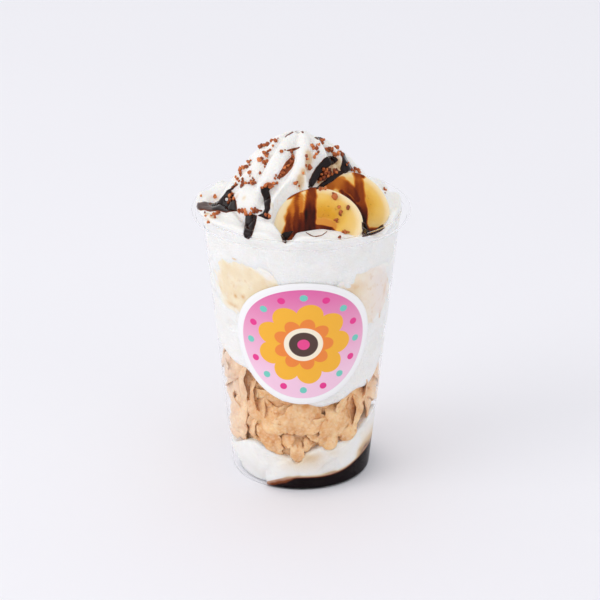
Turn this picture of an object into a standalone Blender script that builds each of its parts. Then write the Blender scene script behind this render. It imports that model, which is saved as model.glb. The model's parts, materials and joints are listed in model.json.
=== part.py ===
"""Chocolate banana parfait in a clear plastic cup, modelled from the table upwards.

The cup is turned. Its filling is a stack of layers that meet the wall: a pool of chocolate sauce,
whipped cream, cornflakes, and whipped cream with banana slices pressed against the wall. Cream is
swirled above the rim, with two slices leaning on it, drizzle and crunchy crumbs.
Metres, +Z up, origin at the middle of the base, the round sticker facing -Y.
"""

import math
import random

import bmesh
import bpy
from mathutils import Matrix, Vector

# ---------------------------------------------------------------- driving sizes (metres, degrees)
RIM_RADIUS = 0.049          # 98 mm across the rolled rim, the usual calibre of a clear cold cup
CUP_HEIGHT = 0.128
BASE_RADIUS = 0.0315
WALL_TOP_RADIUS = 0.0444    # the wall's outside, just under the rim
WALL_TOP = 0.124
WALL = 0.0006
CORNER = 0.0009             # the rounding between the base and the wall
BASE_RISE = 0.0010          # the middle of the base stands clear of the table
FOOT_INSIDE = 0.0245        # the flat ring that it rests on runs from here out to FOOT_OUTSIDE
FOOT_OUTSIDE = 0.0306
CUP_FACETS = 48

GAP = 0.0003                # between pieces that touch
SEGMENTS = 48               # round the layers
SEED = 7

# Where two layers meet at the wall: a level, then waves of (height, count round the cup, crest).
SAUCE_TOP = (0.0064, ((0.0069, 1, 71), (0.0015, 2, 59), (0.0006, 3, -41)))
CREAM_BASE_TOP = (0.0216, ((0.0048, 1, 103), (0.0011, 2, 56), (0.0025, 3, -43), (0.0021, 6, 16)))
FLAKES_TOP = (0.0552, ((0.0062, 1, -135), (0.0042, 2, -73), (0.0016, 3, -52), (0.0010, 4, 31)))
CREAM_JOIN = (0.0930, ((0.0030, 2, 20), (0.0020, 5, 70)))
SAUCE_FILM = 0.0007         # the least depth of sauce over the base
POOL_RINGS = (0.5, 0.86, 1.0)

CORE_INSET = 0.0062         # the bare heap of cornflakes stands this far inside the wall
FLAKE_ROWS = (0.12, 0.50, 0.88)
FLAKES_PER_ROW = 18
FLAKE_SIZE = (0.0125, 0.0180)
FLAKE_THICK = 0.0015
FLAKE_SIDES = 7

SLICE_THICK = 0.0080
# Slices at the wall: angle from the front, height of the middle, length, width, turn.
WALL_SLICES = (
    (-43.5, 0.0988, 0.043, 0.0285, -15),
    (50, 0.0922, 0.041, 0.0270, 5),
    (118, 0.0970, 0.040, 0.029, -14),
    (180, 0.0940, 0.041, 0.030, 12),
    (-111, 0.0975, 0.039, 0.029, 18),
)
# Slices on top: name, middle of the face, length, width, turn, side lean, back lean.
TOP_SLICES = (
    ("banana_front", (0.0070, -0.0298, 0.1311), 0.0400, 0.0325, -6, 0, 36),
    ("banana_back", (0.0218, -0.0156, 0.1325), 0.0360, 0.0325, -20, 8, 33),
)
SLICE_CRUMBS = {            # crumbs on their faces: right of and above the middle
    "banana_front": ((0.0077, 0.0110), (0.0140, 0.0062), (0.0095, 0.0010), (0.0125, -0.0020)),
    "banana_back": ((0.0020, 0.0120), (0.0095, 0.0070)),
}

RIM_CREAM = 0.1302          # the cream's usual edge on the wall
RIM_NOTCHES = (             # dips in that edge: angle, depth
    (-32, 0.0048), (-10, 0.0044), (30, 0.0022), (52, 0.0072), (84, 0.0035), (112, 0.0050),
    (141, 0.0030), (170, 0.0052), (-163, 0.0034), (-134, 0.0050), (-104, 0.0034), (-76, 0.0044),
)
NOTCH_WIDTH = 6.0
MOUND_FOOT = 0.1275
MOUND_HEIGHT = 0.0335
MOUND_RADIUS = 0.046
# Folds of the swirl: valleys at FOLD_RADIUS, which turn as they run down and outwards.
FOLDS = (-160, -124, -88, -52, -21, 3, 26, 66, 102, 138, 170)
FOLD_RADIUS = 0.018
FOLD_TWIST = 2100.0         # degrees for each metre outwards
FOLD_HEIGHT = 0.0046
SWIRL_SEGMENTS = 60
SWIRL_RINGS = 11

LABEL_TURN = 1.5
LABEL_MIDDLE = 0.0765
LABEL_WIDTH = 0.064
LABEL_HEIGHT = 0.061
LABEL_THICK = 0.00025

CRUMBS = 36
CRUMB_SIZE = (0.0011, 0.0017)
# Thick drizzle on the cream: half width, then points of (angle, radius).
DRIZZLES = (
    (0.0021, ((-86, 0.0400), (-71, 0.0385), (-58, 0.0370), (-51, 0.0350))),
    (0.0014, ((-66, 0.0370), (-72, 0.0335), (-71, 0.0290))),
    (0.0016, ((-36, 0.0240), (-30, 0.0290), (-28, 0.0340), (-24, 0.0370))),
    (0.0020, ((-38, 0.0345), (-33, 0.0385), (-30, 0.0415))),
    (0.0016, ((58, 0.0100), (36, 0.0155), (20, 0.0215))),
    (0.0014, ((-90, 0.0075), (-60, 0.0030), (30, 0.0010))),
    (0.0016, ((100, 0.0200), (84, 0.0230), (76, 0.0270))),
    (0.0018, ((172, 0.0190), (162, 0.0260), (160, 0.0340))),
)

COLOURS = {                 # base colour, roughness, transmission
    "clear": ((0.95, 0.96, 0.97), 0.05, 0.95),
    "sauce": ((0.030, 0.010, 0.006), 0.12, 0.0),
    "cream": ((0.93, 0.91, 0.87), 0.45, 0.0),
    "flakes": ((0.72, 0.47, 0.22), 0.60, 0.0),
    "banana": ((0.88, 0.74, 0.42), 0.40, 0.0),
    "label": ((0.86, 0.48, 0.66), 0.45, 0.0),
}


# ---------------------------------------------------------------- scene, materials, small helpers
def clear_scene():
    for old in list(bpy.data.objects):
        bpy.data.objects.remove(old, do_unlink=True)


def material(name):
    """The Principled material of one kind of piece."""
    colour, roughness, transmission = COLOURS[name]
    made = bpy.data.materials.new(name)
    made.use_nodes = True
    shader = made.node_tree.nodes["Principled BSDF"]
    shader.inputs["Base Color"].default_value = (*colour, 1)
    shader.inputs["Roughness"].default_value = roughness
    shader.inputs["Metallic"].default_value = 0
    shader.inputs["Transmission Weight"].default_value = transmission
    return made


def collection(name):
    made = bpy.data.collections.new(name)
    bpy.context.scene.collection.children.link(made)
    return made


def add_object(name, mesh, home, finish=None):
    """An object for a mesh, in a collection, smooth except at its sharp edges."""
    made = bpy.data.objects.new(name, mesh)
    home.objects.link(made)
    mesh.materials.clear()
    if finish is not None:
        mesh.materials.append(finish)
    mesh.shade_smooth()
    mesh.set_sharp_from_angle(angle=math.radians(40))
    return made


def evaluated_mesh(thing):
    """The mesh that an object's modifiers give."""
    bpy.context.view_layer.update()
    return bpy.data.meshes.new_from_object(thing.evaluated_get(bpy.context.evaluated_depsgraph_get()))


def polar(angle, radius, height):
    """A point at an angle from the front, positive towards +X."""
    turn = math.radians(angle)
    return Vector((radius * math.sin(turn), -radius * math.cos(turn), height))


def smooth_step(low, high, value):
    t = min(max((value - low) / (high - low), 0.0), 1.0)
    return t * t * (3 - 2 * t)


def wall_outside(height):
    """The outer radius of the cup's wall."""
    return BASE_RADIUS + (WALL_TOP_RADIUS - BASE_RADIUS) * min(height, WALL_TOP) / WALL_TOP


def fill_radius(height):
    """How far the filling reaches, a gap short of the wall."""
    return wall_outside(height) - WALL - GAP


def level(surface, angle, share=1.0):
    """The height of a wavy surface; its waves fade towards the middle, where share is 0."""
    mean, waves = surface
    ripple = sum(size * math.cos(math.radians(count * (angle - crest))) for size, count, crest in waves)
    return mean + share * ripple


def pressed_ball(name, upper, lower, segments, upper_rings, lower_rings):
    """A ball whose rings are laid along two sheets that close at a shared edge.

    upper and lower give the place of (share of the way out, degrees round); rings are the shares.
    """
    rows = [("up", share) for share in upper_rings] + [("low", share) for share in reversed(lower_rings)]
    bm = bmesh.new()
    bmesh.ops.create_uvsphere(bm, u_segments=segments, v_segments=len(rows) + 1, radius=1)
    step = math.pi / (len(rows) + 1)
    for vert in bm.verts:
        row = round(math.acos(max(-1.0, min(1.0, vert.co.z))) / step)
        degrees = math.degrees(math.atan2(vert.co.x, -vert.co.y))
        if row == 0:
            vert.co = upper(0.0, 0.0)
        elif row == len(rows) + 1:
            vert.co = lower(0.0, 0.0)
        else:
            side, share = rows[row - 1]
            vert.co = (upper if side == "up" else lower)(share, degrees)
    bmesh.ops.triangulate(bm, faces=bm.faces)
    bmesh.ops.recalc_face_normals(bm, faces=bm.faces)
    mesh = bpy.data.meshes.new(name)
    bm.to_mesh(mesh)
    bm.free()
    return mesh


def combine(thing, operation, others, solver="EXACT"):
    """Join to, or cut from, a piece a whole collection at once, apply it and remove the others."""
    change = thing.modifiers.new(operation.lower(), "BOOLEAN")
    change.operation = operation
    change.operand_type = "COLLECTION"
    change.collection = others
    change.solver = solver
    mesh = evaluated_mesh(thing)
    thing.modifiers.remove(change)
    thing.data = mesh
    keep_outer_skin(mesh)
    for other in list(others.objects):
        bpy.data.objects.remove(other, do_unlink=True)
    bpy.data.collections.remove(others)


def keep_outer_skin(mesh):
    """Drop scraps and sealed hollows, and the cuts that joining leaves in flat faces."""
    bm = bmesh.new()
    bm.from_mesh(mesh)
    bmesh.ops.triangulate(bm, faces=bm.faces)
    left = set(bm.verts)
    skins = []
    while left:
        skin, todo = set(), [left.pop()]
        while todo:
            vert = todo.pop()
            skin.add(vert)
            for edge in vert.link_edges:
                other = edge.other_vert(vert)
                if other in left:
                    left.remove(other)
                    todo.append(other)
        skins.append(skin)
    skins.sort(key=len)
    for skin in skins[:-1]:
        bmesh.ops.delete(bm, geom=list(skin), context="VERTS")
    bmesh.ops.dissolve_limit(bm, angle_limit=math.radians(0.5), verts=bm.verts, edges=bm.edges)
    bmesh.ops.triangulate(bm, faces=bm.faces)
    bm.to_mesh(mesh)
    bm.free()


# ---------------------------------------------------------------- the cup
def make_cup(home, finish):
    """The wall, rolled rim and raised base, turned from one outline."""
    rim_low = CUP_HEIGHT - 0.0034
    outline = [
        (RIM_RADIUS - 0.0026, CUP_HEIGHT),
        (RIM_RADIUS - 0.0007, CUP_HEIGHT - 0.0006),
        (RIM_RADIUS, CUP_HEIGHT - 0.0018),
        (RIM_RADIUS - 0.0006, rim_low),
        (WALL_TOP_RADIUS, WALL_TOP),
        (wall_outside(CORNER), CORNER),
        (FOOT_OUTSIDE, 0.0),
        (FOOT_INSIDE, 0.0),
        (FOOT_INSIDE - 0.0020, BASE_RISE),
        (0.0, BASE_RISE),
        (0.0, BASE_RISE + WALL),
        (FOOT_INSIDE - 0.0018, BASE_RISE + WALL),
        (FOOT_INSIDE + 0.0002, WALL),
        (FOOT_OUTSIDE - 0.0003, WALL),
        (wall_outside(CORNER) - WALL, CORNER + 0.0003),
        (WALL_TOP_RADIUS - WALL, WALL_TOP),
        (WALL_TOP_RADIUS, CUP_HEIGHT - 0.0006),
    ]
    bm = bmesh.new()
    points = [bm.verts.new((radius, 0, height)) for radius, height in outline]
    for first, second in zip(points, points[1:] + points[:1]):
        if first.co.x > 0 or second.co.x > 0:
            bm.edges.new((first, second))
    mesh = bpy.data.meshes.new("cup")
    bm.to_mesh(mesh)
    bm.free()
    cup = add_object("cup", mesh, home, finish)
    turn = cup.modifiers.new("turned", "SCREW")
    turn.steps = turn.render_steps = CUP_FACETS
    turn.use_merge_vertices = True
    turn.merge_threshold = 0.00001
    turn.use_normal_calculate = True
    return cup


# ---------------------------------------------------------------- the layers in the cup
def layer(name, low, high, home, finish, inset=0.0, rings=(0.3, 0.65, 1.0)):
    """A layer between two surfaces of (share, angle), out to the wall or an inset from it."""

    def place(surface, share, angle):
        wall = fill_radius(surface(1.0, angle))
        radius = share * (wall - inset)
        return polar(angle, radius, surface(radius / wall, angle))

    mesh = pressed_ball(
        name,
        lambda share, angle: place(high, share, angle),
        lambda share, angle: place(low, share, angle),
        SEGMENTS, rings, rings,
    )
    return add_object(name, mesh, home, finish)


def sauce_top(share, angle):
    """The pool's surface, never below a film over the base and its raised middle."""
    in_middle = 1 - smooth_step(0.86, 0.95, share)
    lowest = WALL + GAP + SAUCE_FILM + BASE_RISE * in_middle
    return max(level(SAUCE_TOP, angle, share), lowest)


def cream_base_top(share, angle):
    return level(CREAM_BASE_TOP, angle, share)


def flakes_top(share, angle):
    return level(FLAKES_TOP, angle, share)


def cream_join(share, angle):
    return level(CREAM_JOIN, angle, share)


def raised(surface, amount):
    """The same surface, higher by an amount."""
    return lambda share, angle: surface(share, angle) + amount


def make_sauce(home, finish):
    """The pool of sauce, which follows the base: low in the foot ring, higher in the middle."""
    on_ring = WALL + GAP
    floor = (
        (0.0, BASE_RISE + on_ring),
        (FOOT_INSIDE - 0.0018, BASE_RISE + on_ring),
        (FOOT_INSIDE + 0.0008, on_ring),
        (FOOT_OUTSIDE - 0.0010, on_ring),
        (wall_outside(CORNER) - WALL - GAP, CORNER + 0.0003 + GAP / 2),
    )
    heights = dict(floor)

    def upper(share, angle):
        height = sauce_top(share, angle)
        return polar(angle, share * fill_radius(height), height)

    def lower(radius, angle):
        return polar(angle, radius, heights[radius])

    radii = tuple(radius for radius, _ in floor[1:])
    mesh = pressed_ball("sauce_base", upper, lower, SEGMENTS, POOL_RINGS, radii)
    return add_object("sauce_base", mesh, home, finish)


# ---------------------------------------------------------------- cornflakes
def flake_mesh(name, draw, angle, height):
    """A curled, uneven flake that lies along the wall and touches it."""
    size = draw.uniform(*FLAKE_SIZE) / 2
    narrow = draw.uniform(0.66, 0.9)
    dish = draw.uniform(0.10, 0.24) * size
    curl = draw.uniform(-0.20, 0.26) * size
    edges = [draw.uniform(0.80, 1.12) for _ in range(FLAKE_SIDES)]
    lean = Matrix.Rotation(math.radians(draw.uniform(-32, 32)), 3, "X")
    sway = Matrix.Rotation(math.radians(draw.uniform(-28, 28)), 3, "Y")
    spin = Matrix.Rotation(draw.uniform(0, 2 * math.pi), 3, "Z")
    stand = Matrix.Rotation(math.radians(90), 3, "X")
    round_cup = Matrix.Rotation(math.radians(angle), 3, "Z")
    aim = round_cup @ stand @ lean @ sway @ spin

    def place(share, degrees, side):
        ray = math.radians(degrees)
        reach = share * size * edges[round(degrees / 360 * FLAKE_SIDES) % FLAKE_SIDES]
        x = reach * math.cos(ray)
        y = reach * math.sin(ray) * narrow
        z = dish * (share ** 2 - 0.5) + curl * (x / size) ** 2
        thick = FLAKE_THICK * (1 - 0.45 * share)
        return aim @ Vector((x, y, -z + side * thick / 2))

    mesh = pressed_ball(
        name,
        lambda share, degrees: place(share, degrees, 1),
        lambda share, degrees: place(share, degrees, -1),
        FLAKE_SIDES, (1.0,), (1.0,),
    )
    middle = polar(angle, fill_radius(height), height)
    for vert in mesh.vertices:
        vert.co += middle
    outwards = polar(angle, 1, 0)
    over = max(math.hypot(v.co.x, v.co.y) - fill_radius(v.co.z) for v in mesh.vertices)
    for vert in mesh.vertices:
        vert.co -= outwards * (over + GAP / 3)
    return mesh


def fits_between(mesh):
    """True where a flake stays clear of the cream below and above it, and inside the wall."""
    for vert in mesh.vertices:
        angle = math.degrees(math.atan2(vert.co.x, -vert.co.y))
        radius = math.hypot(vert.co.x, vert.co.y)
        share = min(radius / fill_radius(vert.co.z), 1.0)
        lowest = cream_base_top(share, angle) + 2.5 * GAP
        highest = flakes_top(share, angle) - 2.5 * GAP
        if not lowest < vert.co.z < highest or radius > fill_radius(vert.co.z):
            return False
    return True


def make_cornflakes(home, finish):
    """The heap: a bare core, and the flakes that show at the wall fused on in staggered rows."""
    heap = layer("cornflakes", raised(cream_base_top, 1.3 * GAP), raised(flakes_top, -1.3 * GAP),
                 home, finish, inset=CORE_INSET, rings=(0.55, 1.0))
    draw = random.Random(SEED)
    flakes = collection("flakes")
    for row, share in enumerate(FLAKE_ROWS):
        for count in range(FLAKES_PER_ROW):
            angle = (count + 0.5 * (row % 2) + draw.uniform(-0.18, 0.18)) * 360 / FLAKES_PER_ROW - 180
            low, high = cream_base_top(1, angle), flakes_top(1, angle)
            height = low + (high - low) * (share + draw.uniform(-0.05, 0.05))
            for _ in range(16):
                mesh = flake_mesh("flake", draw, angle, height)
                if fits_between(mesh):
                    add_object("flake", mesh, flakes)
                    break
                height += ((low + high) / 2 - height) * 0.12
    combine(heap, "UNION", flakes)
    return heap


# ---------------------------------------------------------------- banana slices
def slice_sheets(length, width, thick, place):
    """The two faces of an oval slice, rounded where they meet its edge."""
    soft = 0.0011

    def face(share, degrees, outer):
        ray = math.radians(degrees)
        wobble = 1 + 0.025 * math.cos(3 * ray + 0.6)
        along = share * length / 2 * math.cos(ray) * wobble
        across = share * width / 2 * math.sin(ray) * wobble
        drop = soft if share == 1.0 else 0.0
        return place(along, across, drop if outer else thick - drop)

    return (lambda share, degrees: face(share, degrees, True),
            lambda share, degrees: face(share, degrees, False))


def wall_slice_mesh(name, angle, height, length, width, turn, grow=0.0):
    """A slice pressed flat on the cup's wall, which bends its outer face."""
    spin = math.radians(turn)
    tall = math.hypot(WALL_TOP, WALL_TOP_RADIUS - BASE_RADIUS) / WALL_TOP

    def place(along, across, depth):
        side = along * math.cos(spin) - across * math.sin(spin)
        rise = (along * math.sin(spin) + across * math.cos(spin)) / tall
        z = height + rise
        degrees = angle + math.degrees(side / fill_radius(height))
        return polar(degrees, fill_radius(z) - depth + grow, z)

    upper, lower = slice_sheets(length + 2 * grow, width + 2 * grow, SLICE_THICK + 2 * grow, place)
    return pressed_ball(name, upper, lower, 20, (0.5, 0.93, 1.0), (1.0,))


def lean_frame(middle, side_lean, back_lean, turn):
    """The place and turn of a slice on top; its local Z looks out of its face."""
    yaw = Matrix.Rotation(math.radians(side_lean), 4, "Z")
    pitch = Matrix.Rotation(math.radians(90 - back_lean), 4, "X")
    roll = Matrix.Rotation(math.radians(turn), 4, "Z")
    return Matrix.Translation(middle) @ yaw @ pitch @ roll


def top_slice_mesh(name, middle, length, width, turn, side_lean, back_lean, grow=0.0):
    frame = lean_frame(middle, side_lean, back_lean, turn)

    def place(along, across, depth):
        return frame @ Vector((along, across, grow - depth))

    upper, lower = slice_sheets(length + 2 * grow, width + 2 * grow, SLICE_THICK + 2 * grow, place)
    return pressed_ball(name, upper, lower, 24, (0.93, 1.0), (0.93, 1.0))


def make_top_slice(name, values, home, finish):
    """A slice that leans on the swirl, with the crumbs that fell on its face."""
    banana = add_object(name, top_slice_mesh(name, *values), home, finish)
    middle, _, _, _, side_lean, back_lean = values
    upright = lean_frame(middle, side_lean, back_lean, 0)
    draw = random.Random(SEED)
    crumbs = collection("slice_crumbs")
    for right, above in SLICE_CRUMBS[name]:
        add_object("crumb", crumb_mesh(draw, upright @ Vector((right, above, 0))), crumbs)
    combine(banana, "UNION", crumbs)


def over_slice(point, margin):
    """How a point lies to the slices on top: True within the margin of one's outline."""
    for _, middle, length, width, turn, side_lean, back_lean in TOP_SLICES:
        local = lean_frame(middle, side_lean, back_lean, turn).inverted() @ point
        across = math.hypot(local.x / (length / 2 + margin), local.y / (width / 2 + margin))
        if across < 1 and -SLICE_THICK - margin < local.z < 2 * margin:
            return True
    return False


# ---------------------------------------------------------------- the swirl
def fold(angle, radius):
    """The swirl's relief, -0.6 in a valley and 0.4 on a ridge."""
    turned = (angle + FOLD_TWIST * (radius - FOLD_RADIUS) - FOLDS[0]) % 360 + FOLDS[0]
    ends = (*FOLDS, FOLDS[0] + 360)
    for first, second in zip(ends, ends[1:]):
        if first <= turned <= second:
            share = (turned - first) / (second - first)
            return math.sqrt(max(math.sin(math.pi * share), 0.0)) - 0.6
    return 0.4


def rim_edge(angle):
    """The height of the cream's edge on the wall."""
    dip = 0.0
    for at, depth in RIM_NOTCHES:
        away = (angle - at + 180) % 360 - 180
        dip += depth * math.exp(-((away / NOTCH_WIDTH) ** 2))
    return RIM_CREAM - dip


def clearing(point):
    """How high cream may stand over a slice's face, with a soft rise beside it."""
    highest = 1.0
    for _, middle, length, width, turn, side_lean, back_lean in TOP_SLICES:
        frame = lean_frame(middle, side_lean, back_lean, turn)
        normal = frame.to_3x3() @ Vector((0, 0, 1))
        away = point - Vector(middle)
        plane = middle[2] - (normal.x * away.x + normal.y * away.y) / normal.z
        local = frame.inverted() @ Vector((point.x, point.y, plane))
        beside = max(math.hypot(local.x / (length / 2), local.y / (width / 2)) - 0.92, 0.0)
        highest = min(highest, plane - 0.0006 + 0.16 * beside ** 1.5)
    return highest


def swirl_height(angle, radius):
    """The cream's top: a mound with twisted folds that ends at its edge on the wall."""
    share = 0.5 + 0.5 * math.cos(math.pi * min(radius / MOUND_RADIUS, 1.0))
    mound = MOUND_FOOT + MOUND_HEIGHT * share ** 0.93
    strength = smooth_step(0.003, 0.015, radius) * (1 - 0.55 * smooth_step(0.030, 0.042, radius))
    mound += FOLD_HEIGHT * strength * fold(angle, radius)
    edge = rim_edge(angle)
    near_wall = smooth_step(0.034, 0.0425, radius)
    height = mound + (edge - mound) * near_wall
    spot = polar(angle, radius, height)
    floor = min(edge, MOUND_FOOT) - 0.001
    return max(min(height, clearing(spot)), floor + (edge - floor) * near_wall)


def on_swirl(angle, radius, lift=0.0):
    return polar(angle, radius, swirl_height(angle, radius) + lift)


def crumb_mesh(draw, spot):
    """A small angular crumb."""
    bm = bmesh.new()
    bmesh.ops.create_icosphere(bm, subdivisions=1, radius=draw.uniform(*CRUMB_SIZE))
    stretch = Vector((draw.uniform(0.75, 1.3), draw.uniform(0.75, 1.1), draw.uniform(0.6, 0.9)))
    spin = Matrix.Rotation(draw.uniform(0, math.pi), 3, "Z")
    for vert in bm.verts:
        knock = draw.uniform(0.85, 1.15)
        vert.co = spin @ (vert.co * stretch * knock) + spot
    mesh = bpy.data.meshes.new("crumb")
    bm.to_mesh(mesh)
    bm.free()
    return mesh


def drizzle_object(half_width, route, home):
    """A thick line of sauce that follows the cream, flat below and round above."""
    curve = bpy.data.curves.new("drizzle", "CURVE")
    curve.dimensions = "3D"
    curve.bevel_depth = half_width
    curve.bevel_resolution = 1
    curve.use_fill_caps = True
    line = curve.splines.new("POLY")
    steps = 2
    points = []
    for (angle, radius), (next_angle, next_radius) in zip(route, route[1:]):
        for step in range(steps):
            share = step / steps
            points.append((angle + (next_angle - angle) * share, radius + (next_radius - radius) * share))
    points.append(route[-1])
    line.points.add(len(points) - 1)
    for count, (angle, radius) in enumerate(points):
        ends = min(count, len(points) - 1 - count)
        line.points[count].co = (*on_swirl(angle, radius, -0.25 * half_width), 1)
        line.points[count].radius = (0.45, 0.85, 1.0)[min(ends, 2)]
    thing = bpy.data.objects.new("drizzle", curve)
    home.objects.link(thing)
    mesh = evaluated_mesh(thing)
    bm = bmesh.new()
    bm.from_mesh(mesh)
    bmesh.ops.remove_doubles(bm, verts=bm.verts, dist=0.00001)
    bm.to_mesh(mesh)
    bm.free()
    bpy.data.objects.remove(thing)
    bpy.data.curves.remove(curve)
    return add_object("drizzle", mesh, home)


def scatter_crumbs(draw, home):
    """Crumbs over the swirl, thickest on its left, clear of the slices and of the wall."""
    placed = 0
    while placed < CRUMBS:
        angle = draw.gauss(-35, 75)
        radius = 0.040 * math.sqrt(draw.uniform(0.02, 1))
        spot = on_swirl(angle, radius)
        if over_slice(spot, 0.0030):
            continue
        add_object("crumb", crumb_mesh(draw, spot), home)
        placed += 1


def make_cream_top(home, finish):
    """The upper cream with its swirl, pockets for the slices, drizzle and crumbs."""

    def upper(share, angle):
        edge = rim_edge(angle)
        if share == 1.0:
            return polar(angle, fill_radius(edge), edge)
        return on_swirl(angle, share * fill_radius(edge))

    def lower(share, angle):
        height = cream_join(share, angle) + GAP
        return polar(angle, share * fill_radius(height), height)

    rings = tuple((count + 1) / SWIRL_RINGS for count in range(SWIRL_RINGS))
    mesh = pressed_ball("cream_top", upper, lower, SWIRL_SEGMENTS, rings, (0.5, 1.0))
    cream = add_object("cream_top", mesh, home, finish)
    draw = random.Random(SEED)
    toppings = collection("toppings")
    for half_width, route in DRIZZLES:
        drizzle_object(half_width, route, toppings)
    scatter_crumbs(draw, toppings)
    combine(cream, "UNION", toppings)
    combine(cream, "DIFFERENCE", pocket_cutters())
    return cream


def pocket_cutters():
    """The slices, a gap larger all round."""
    cutters = collection("pockets")
    for values in WALL_SLICES:
        add_object("pocket", wall_slice_mesh("pocket", *values, grow=GAP), cutters)
    for name, *values in TOP_SLICES:
        add_object("pocket", top_slice_mesh("pocket", *values, grow=GAP), cutters)
    return cutters


# ---------------------------------------------------------------- the label
def make_label(home, finish):
    """A round sticker that follows the facets of the cup's wall."""
    half_turn = math.degrees(LABEL_WIDTH / 2 / wall_outside(LABEL_MIDDLE))
    facet = 360 / CUP_FACETS
    first = math.ceil((LABEL_TURN - half_turn) / facet)
    last = math.floor((LABEL_TURN + half_turn) / facet)
    tips = [LABEL_TURN + side * share * half_turn for side in (-1, 1) for share in (0.95, 0.995)]
    angles = sorted([count * facet for count in range(first, last + 1)] + tips)
    bm = bmesh.new()
    rungs = []
    for angle in angles:
        share = (angle - LABEL_TURN) / half_turn
        rise = LABEL_HEIGHT / 2 * math.sqrt(1 - share ** 2)
        ends = (LABEL_MIDDLE - rise, LABEL_MIDDLE + rise)
        rungs.append([bm.verts.new(polar(angle, wall_outside(z) + GAP / 2, z)) for z in ends])
    for (low, high), (next_low, next_high) in zip(rungs, rungs[1:]):
        bm.faces.new((low, next_low, next_high, high))
    mesh = bpy.data.meshes.new("label")
    bm.to_mesh(mesh)
    bm.free()
    label = add_object("label", mesh, home, finish)
    wall = label.modifiers.new("paper", "SOLIDIFY")
    wall.thickness = LABEL_THICK
    wall.offset = 1
    return label


# ---------------------------------------------------------------- the parfait
def build():
    clear_scene()
    parts = collection("parfait")
    finish = {name: material(name) for name in COLOURS}
    make_cup(parts, finish["clear"])
    make_sauce(parts, finish["sauce"])
    layer("cream_base", raised(sauce_top, GAP), cream_base_top, parts, finish["cream"],
          rings=POOL_RINGS)
    make_cornflakes(parts, finish["flakes"])
    middle = layer("cream_middle", flakes_top, cream_join, parts, finish["cream"], rings=(0.5, 1.0))
    combine(middle, "DIFFERENCE", pocket_cutters())
    for count, values in enumerate(WALL_SLICES, 1):
        name = f"banana_wall_{count}"
        add_object(name, wall_slice_mesh(name, *values), parts, finish["banana"])
    make_cream_top(parts, finish["cream"])
    for name, *values in TOP_SLICES:
        make_top_slice(name, values, parts, finish["banana"])
    make_label(parts, finish["label"])


build()
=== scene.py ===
"""Looks of the chocolate banana parfait, made in the order in which it is put together.

Metres, +Z up, origin at the middle of the base. Angles are in degrees from the front (-Y), positive
towards +X. The filling stands in layers inside the cup; the swirl, slices and toppings rise above it.
"""

import json
import math
import random

import bmesh
import bpy
import numpy as np
from mathutils import Matrix, Vector, noise
from mathutils.bvhtree import BVHTree

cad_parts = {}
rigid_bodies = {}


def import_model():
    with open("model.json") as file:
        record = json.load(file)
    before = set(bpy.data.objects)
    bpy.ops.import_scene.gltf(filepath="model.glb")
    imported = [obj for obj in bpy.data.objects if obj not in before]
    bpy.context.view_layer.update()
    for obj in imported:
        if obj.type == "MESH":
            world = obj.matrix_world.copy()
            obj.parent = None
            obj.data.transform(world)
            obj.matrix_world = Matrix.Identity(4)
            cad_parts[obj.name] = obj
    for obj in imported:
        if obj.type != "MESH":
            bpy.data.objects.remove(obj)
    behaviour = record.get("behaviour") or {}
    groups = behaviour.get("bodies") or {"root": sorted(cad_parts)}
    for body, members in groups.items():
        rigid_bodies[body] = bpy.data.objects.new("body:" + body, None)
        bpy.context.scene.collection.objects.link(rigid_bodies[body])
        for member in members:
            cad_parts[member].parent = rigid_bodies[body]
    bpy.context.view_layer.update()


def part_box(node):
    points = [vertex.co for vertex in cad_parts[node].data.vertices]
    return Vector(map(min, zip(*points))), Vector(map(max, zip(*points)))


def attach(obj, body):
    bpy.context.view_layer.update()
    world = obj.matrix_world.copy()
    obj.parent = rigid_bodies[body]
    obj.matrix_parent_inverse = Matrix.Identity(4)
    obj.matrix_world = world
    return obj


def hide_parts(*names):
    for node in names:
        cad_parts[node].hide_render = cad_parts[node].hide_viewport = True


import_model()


# ================================================================ the clear cup
# A cold-drink cup formed from one thin sheet of clear plastic: a tapered wall, a base raised inside its
# foot ring, and a lip rolled outwards. It is glossy, with faint waves that forming leaves.
RIM_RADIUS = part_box("cup")[1].x
CUP_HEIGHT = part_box("cup")[1].z
BASE_RADIUS = 0.0315
WALL_TOP_RADIUS = 0.0444        # the wall's outside, just under the lip
WALL_TOP = 0.124
WALL = 0.0006
BASE_RISE = 0.0010
FOOT_INSIDE = 0.0245            # the flat ring that the cup stands on starts here
CORNER_RADIUS = 0.0016
LIP_RADIUS = 0.0021             # the roll of the lip, to the middle of its sheet
LIP_SHEET = 0.0003
FOOT_SLOPE = 0.0022             # the raised floor comes down to the ring over this width
CUP_STEPS = 384


def polar(angle, radius, height):
    """Points at an angle from the front, as rows of x, y, z."""
    turn = np.radians(angle)
    place = np.broadcast_arrays(radius * np.sin(turn), -radius * np.cos(turn), height)
    return np.stack(place, axis=-1)


def wall_outside(height):
    """The outer radius of the cup's wall."""
    share = np.clip(height, 0, WALL_TOP) / WALL_TOP
    return BASE_RADIUS + (WALL_TOP_RADIUS - BASE_RADIUS) * share


def on_axis(height):
    """A point in the middle of the cup."""
    return (0, 0, float(height))


def arc(middle, radius, first, last, steps):
    """Points of (radius, height) along part of a circle, in degrees."""
    turns = np.radians(np.linspace(first, last, steps))
    return [(middle[0] + radius * math.cos(t), middle[1] + radius * math.sin(t)) for t in turns]


def smooth_step(low, high, value):
    """0 below a low value, 1 above a high one, and a soft rise between them."""
    share = np.clip((value - low) / (high - low), 0, 1)
    return share * share * (3 - 2 * share)


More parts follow.
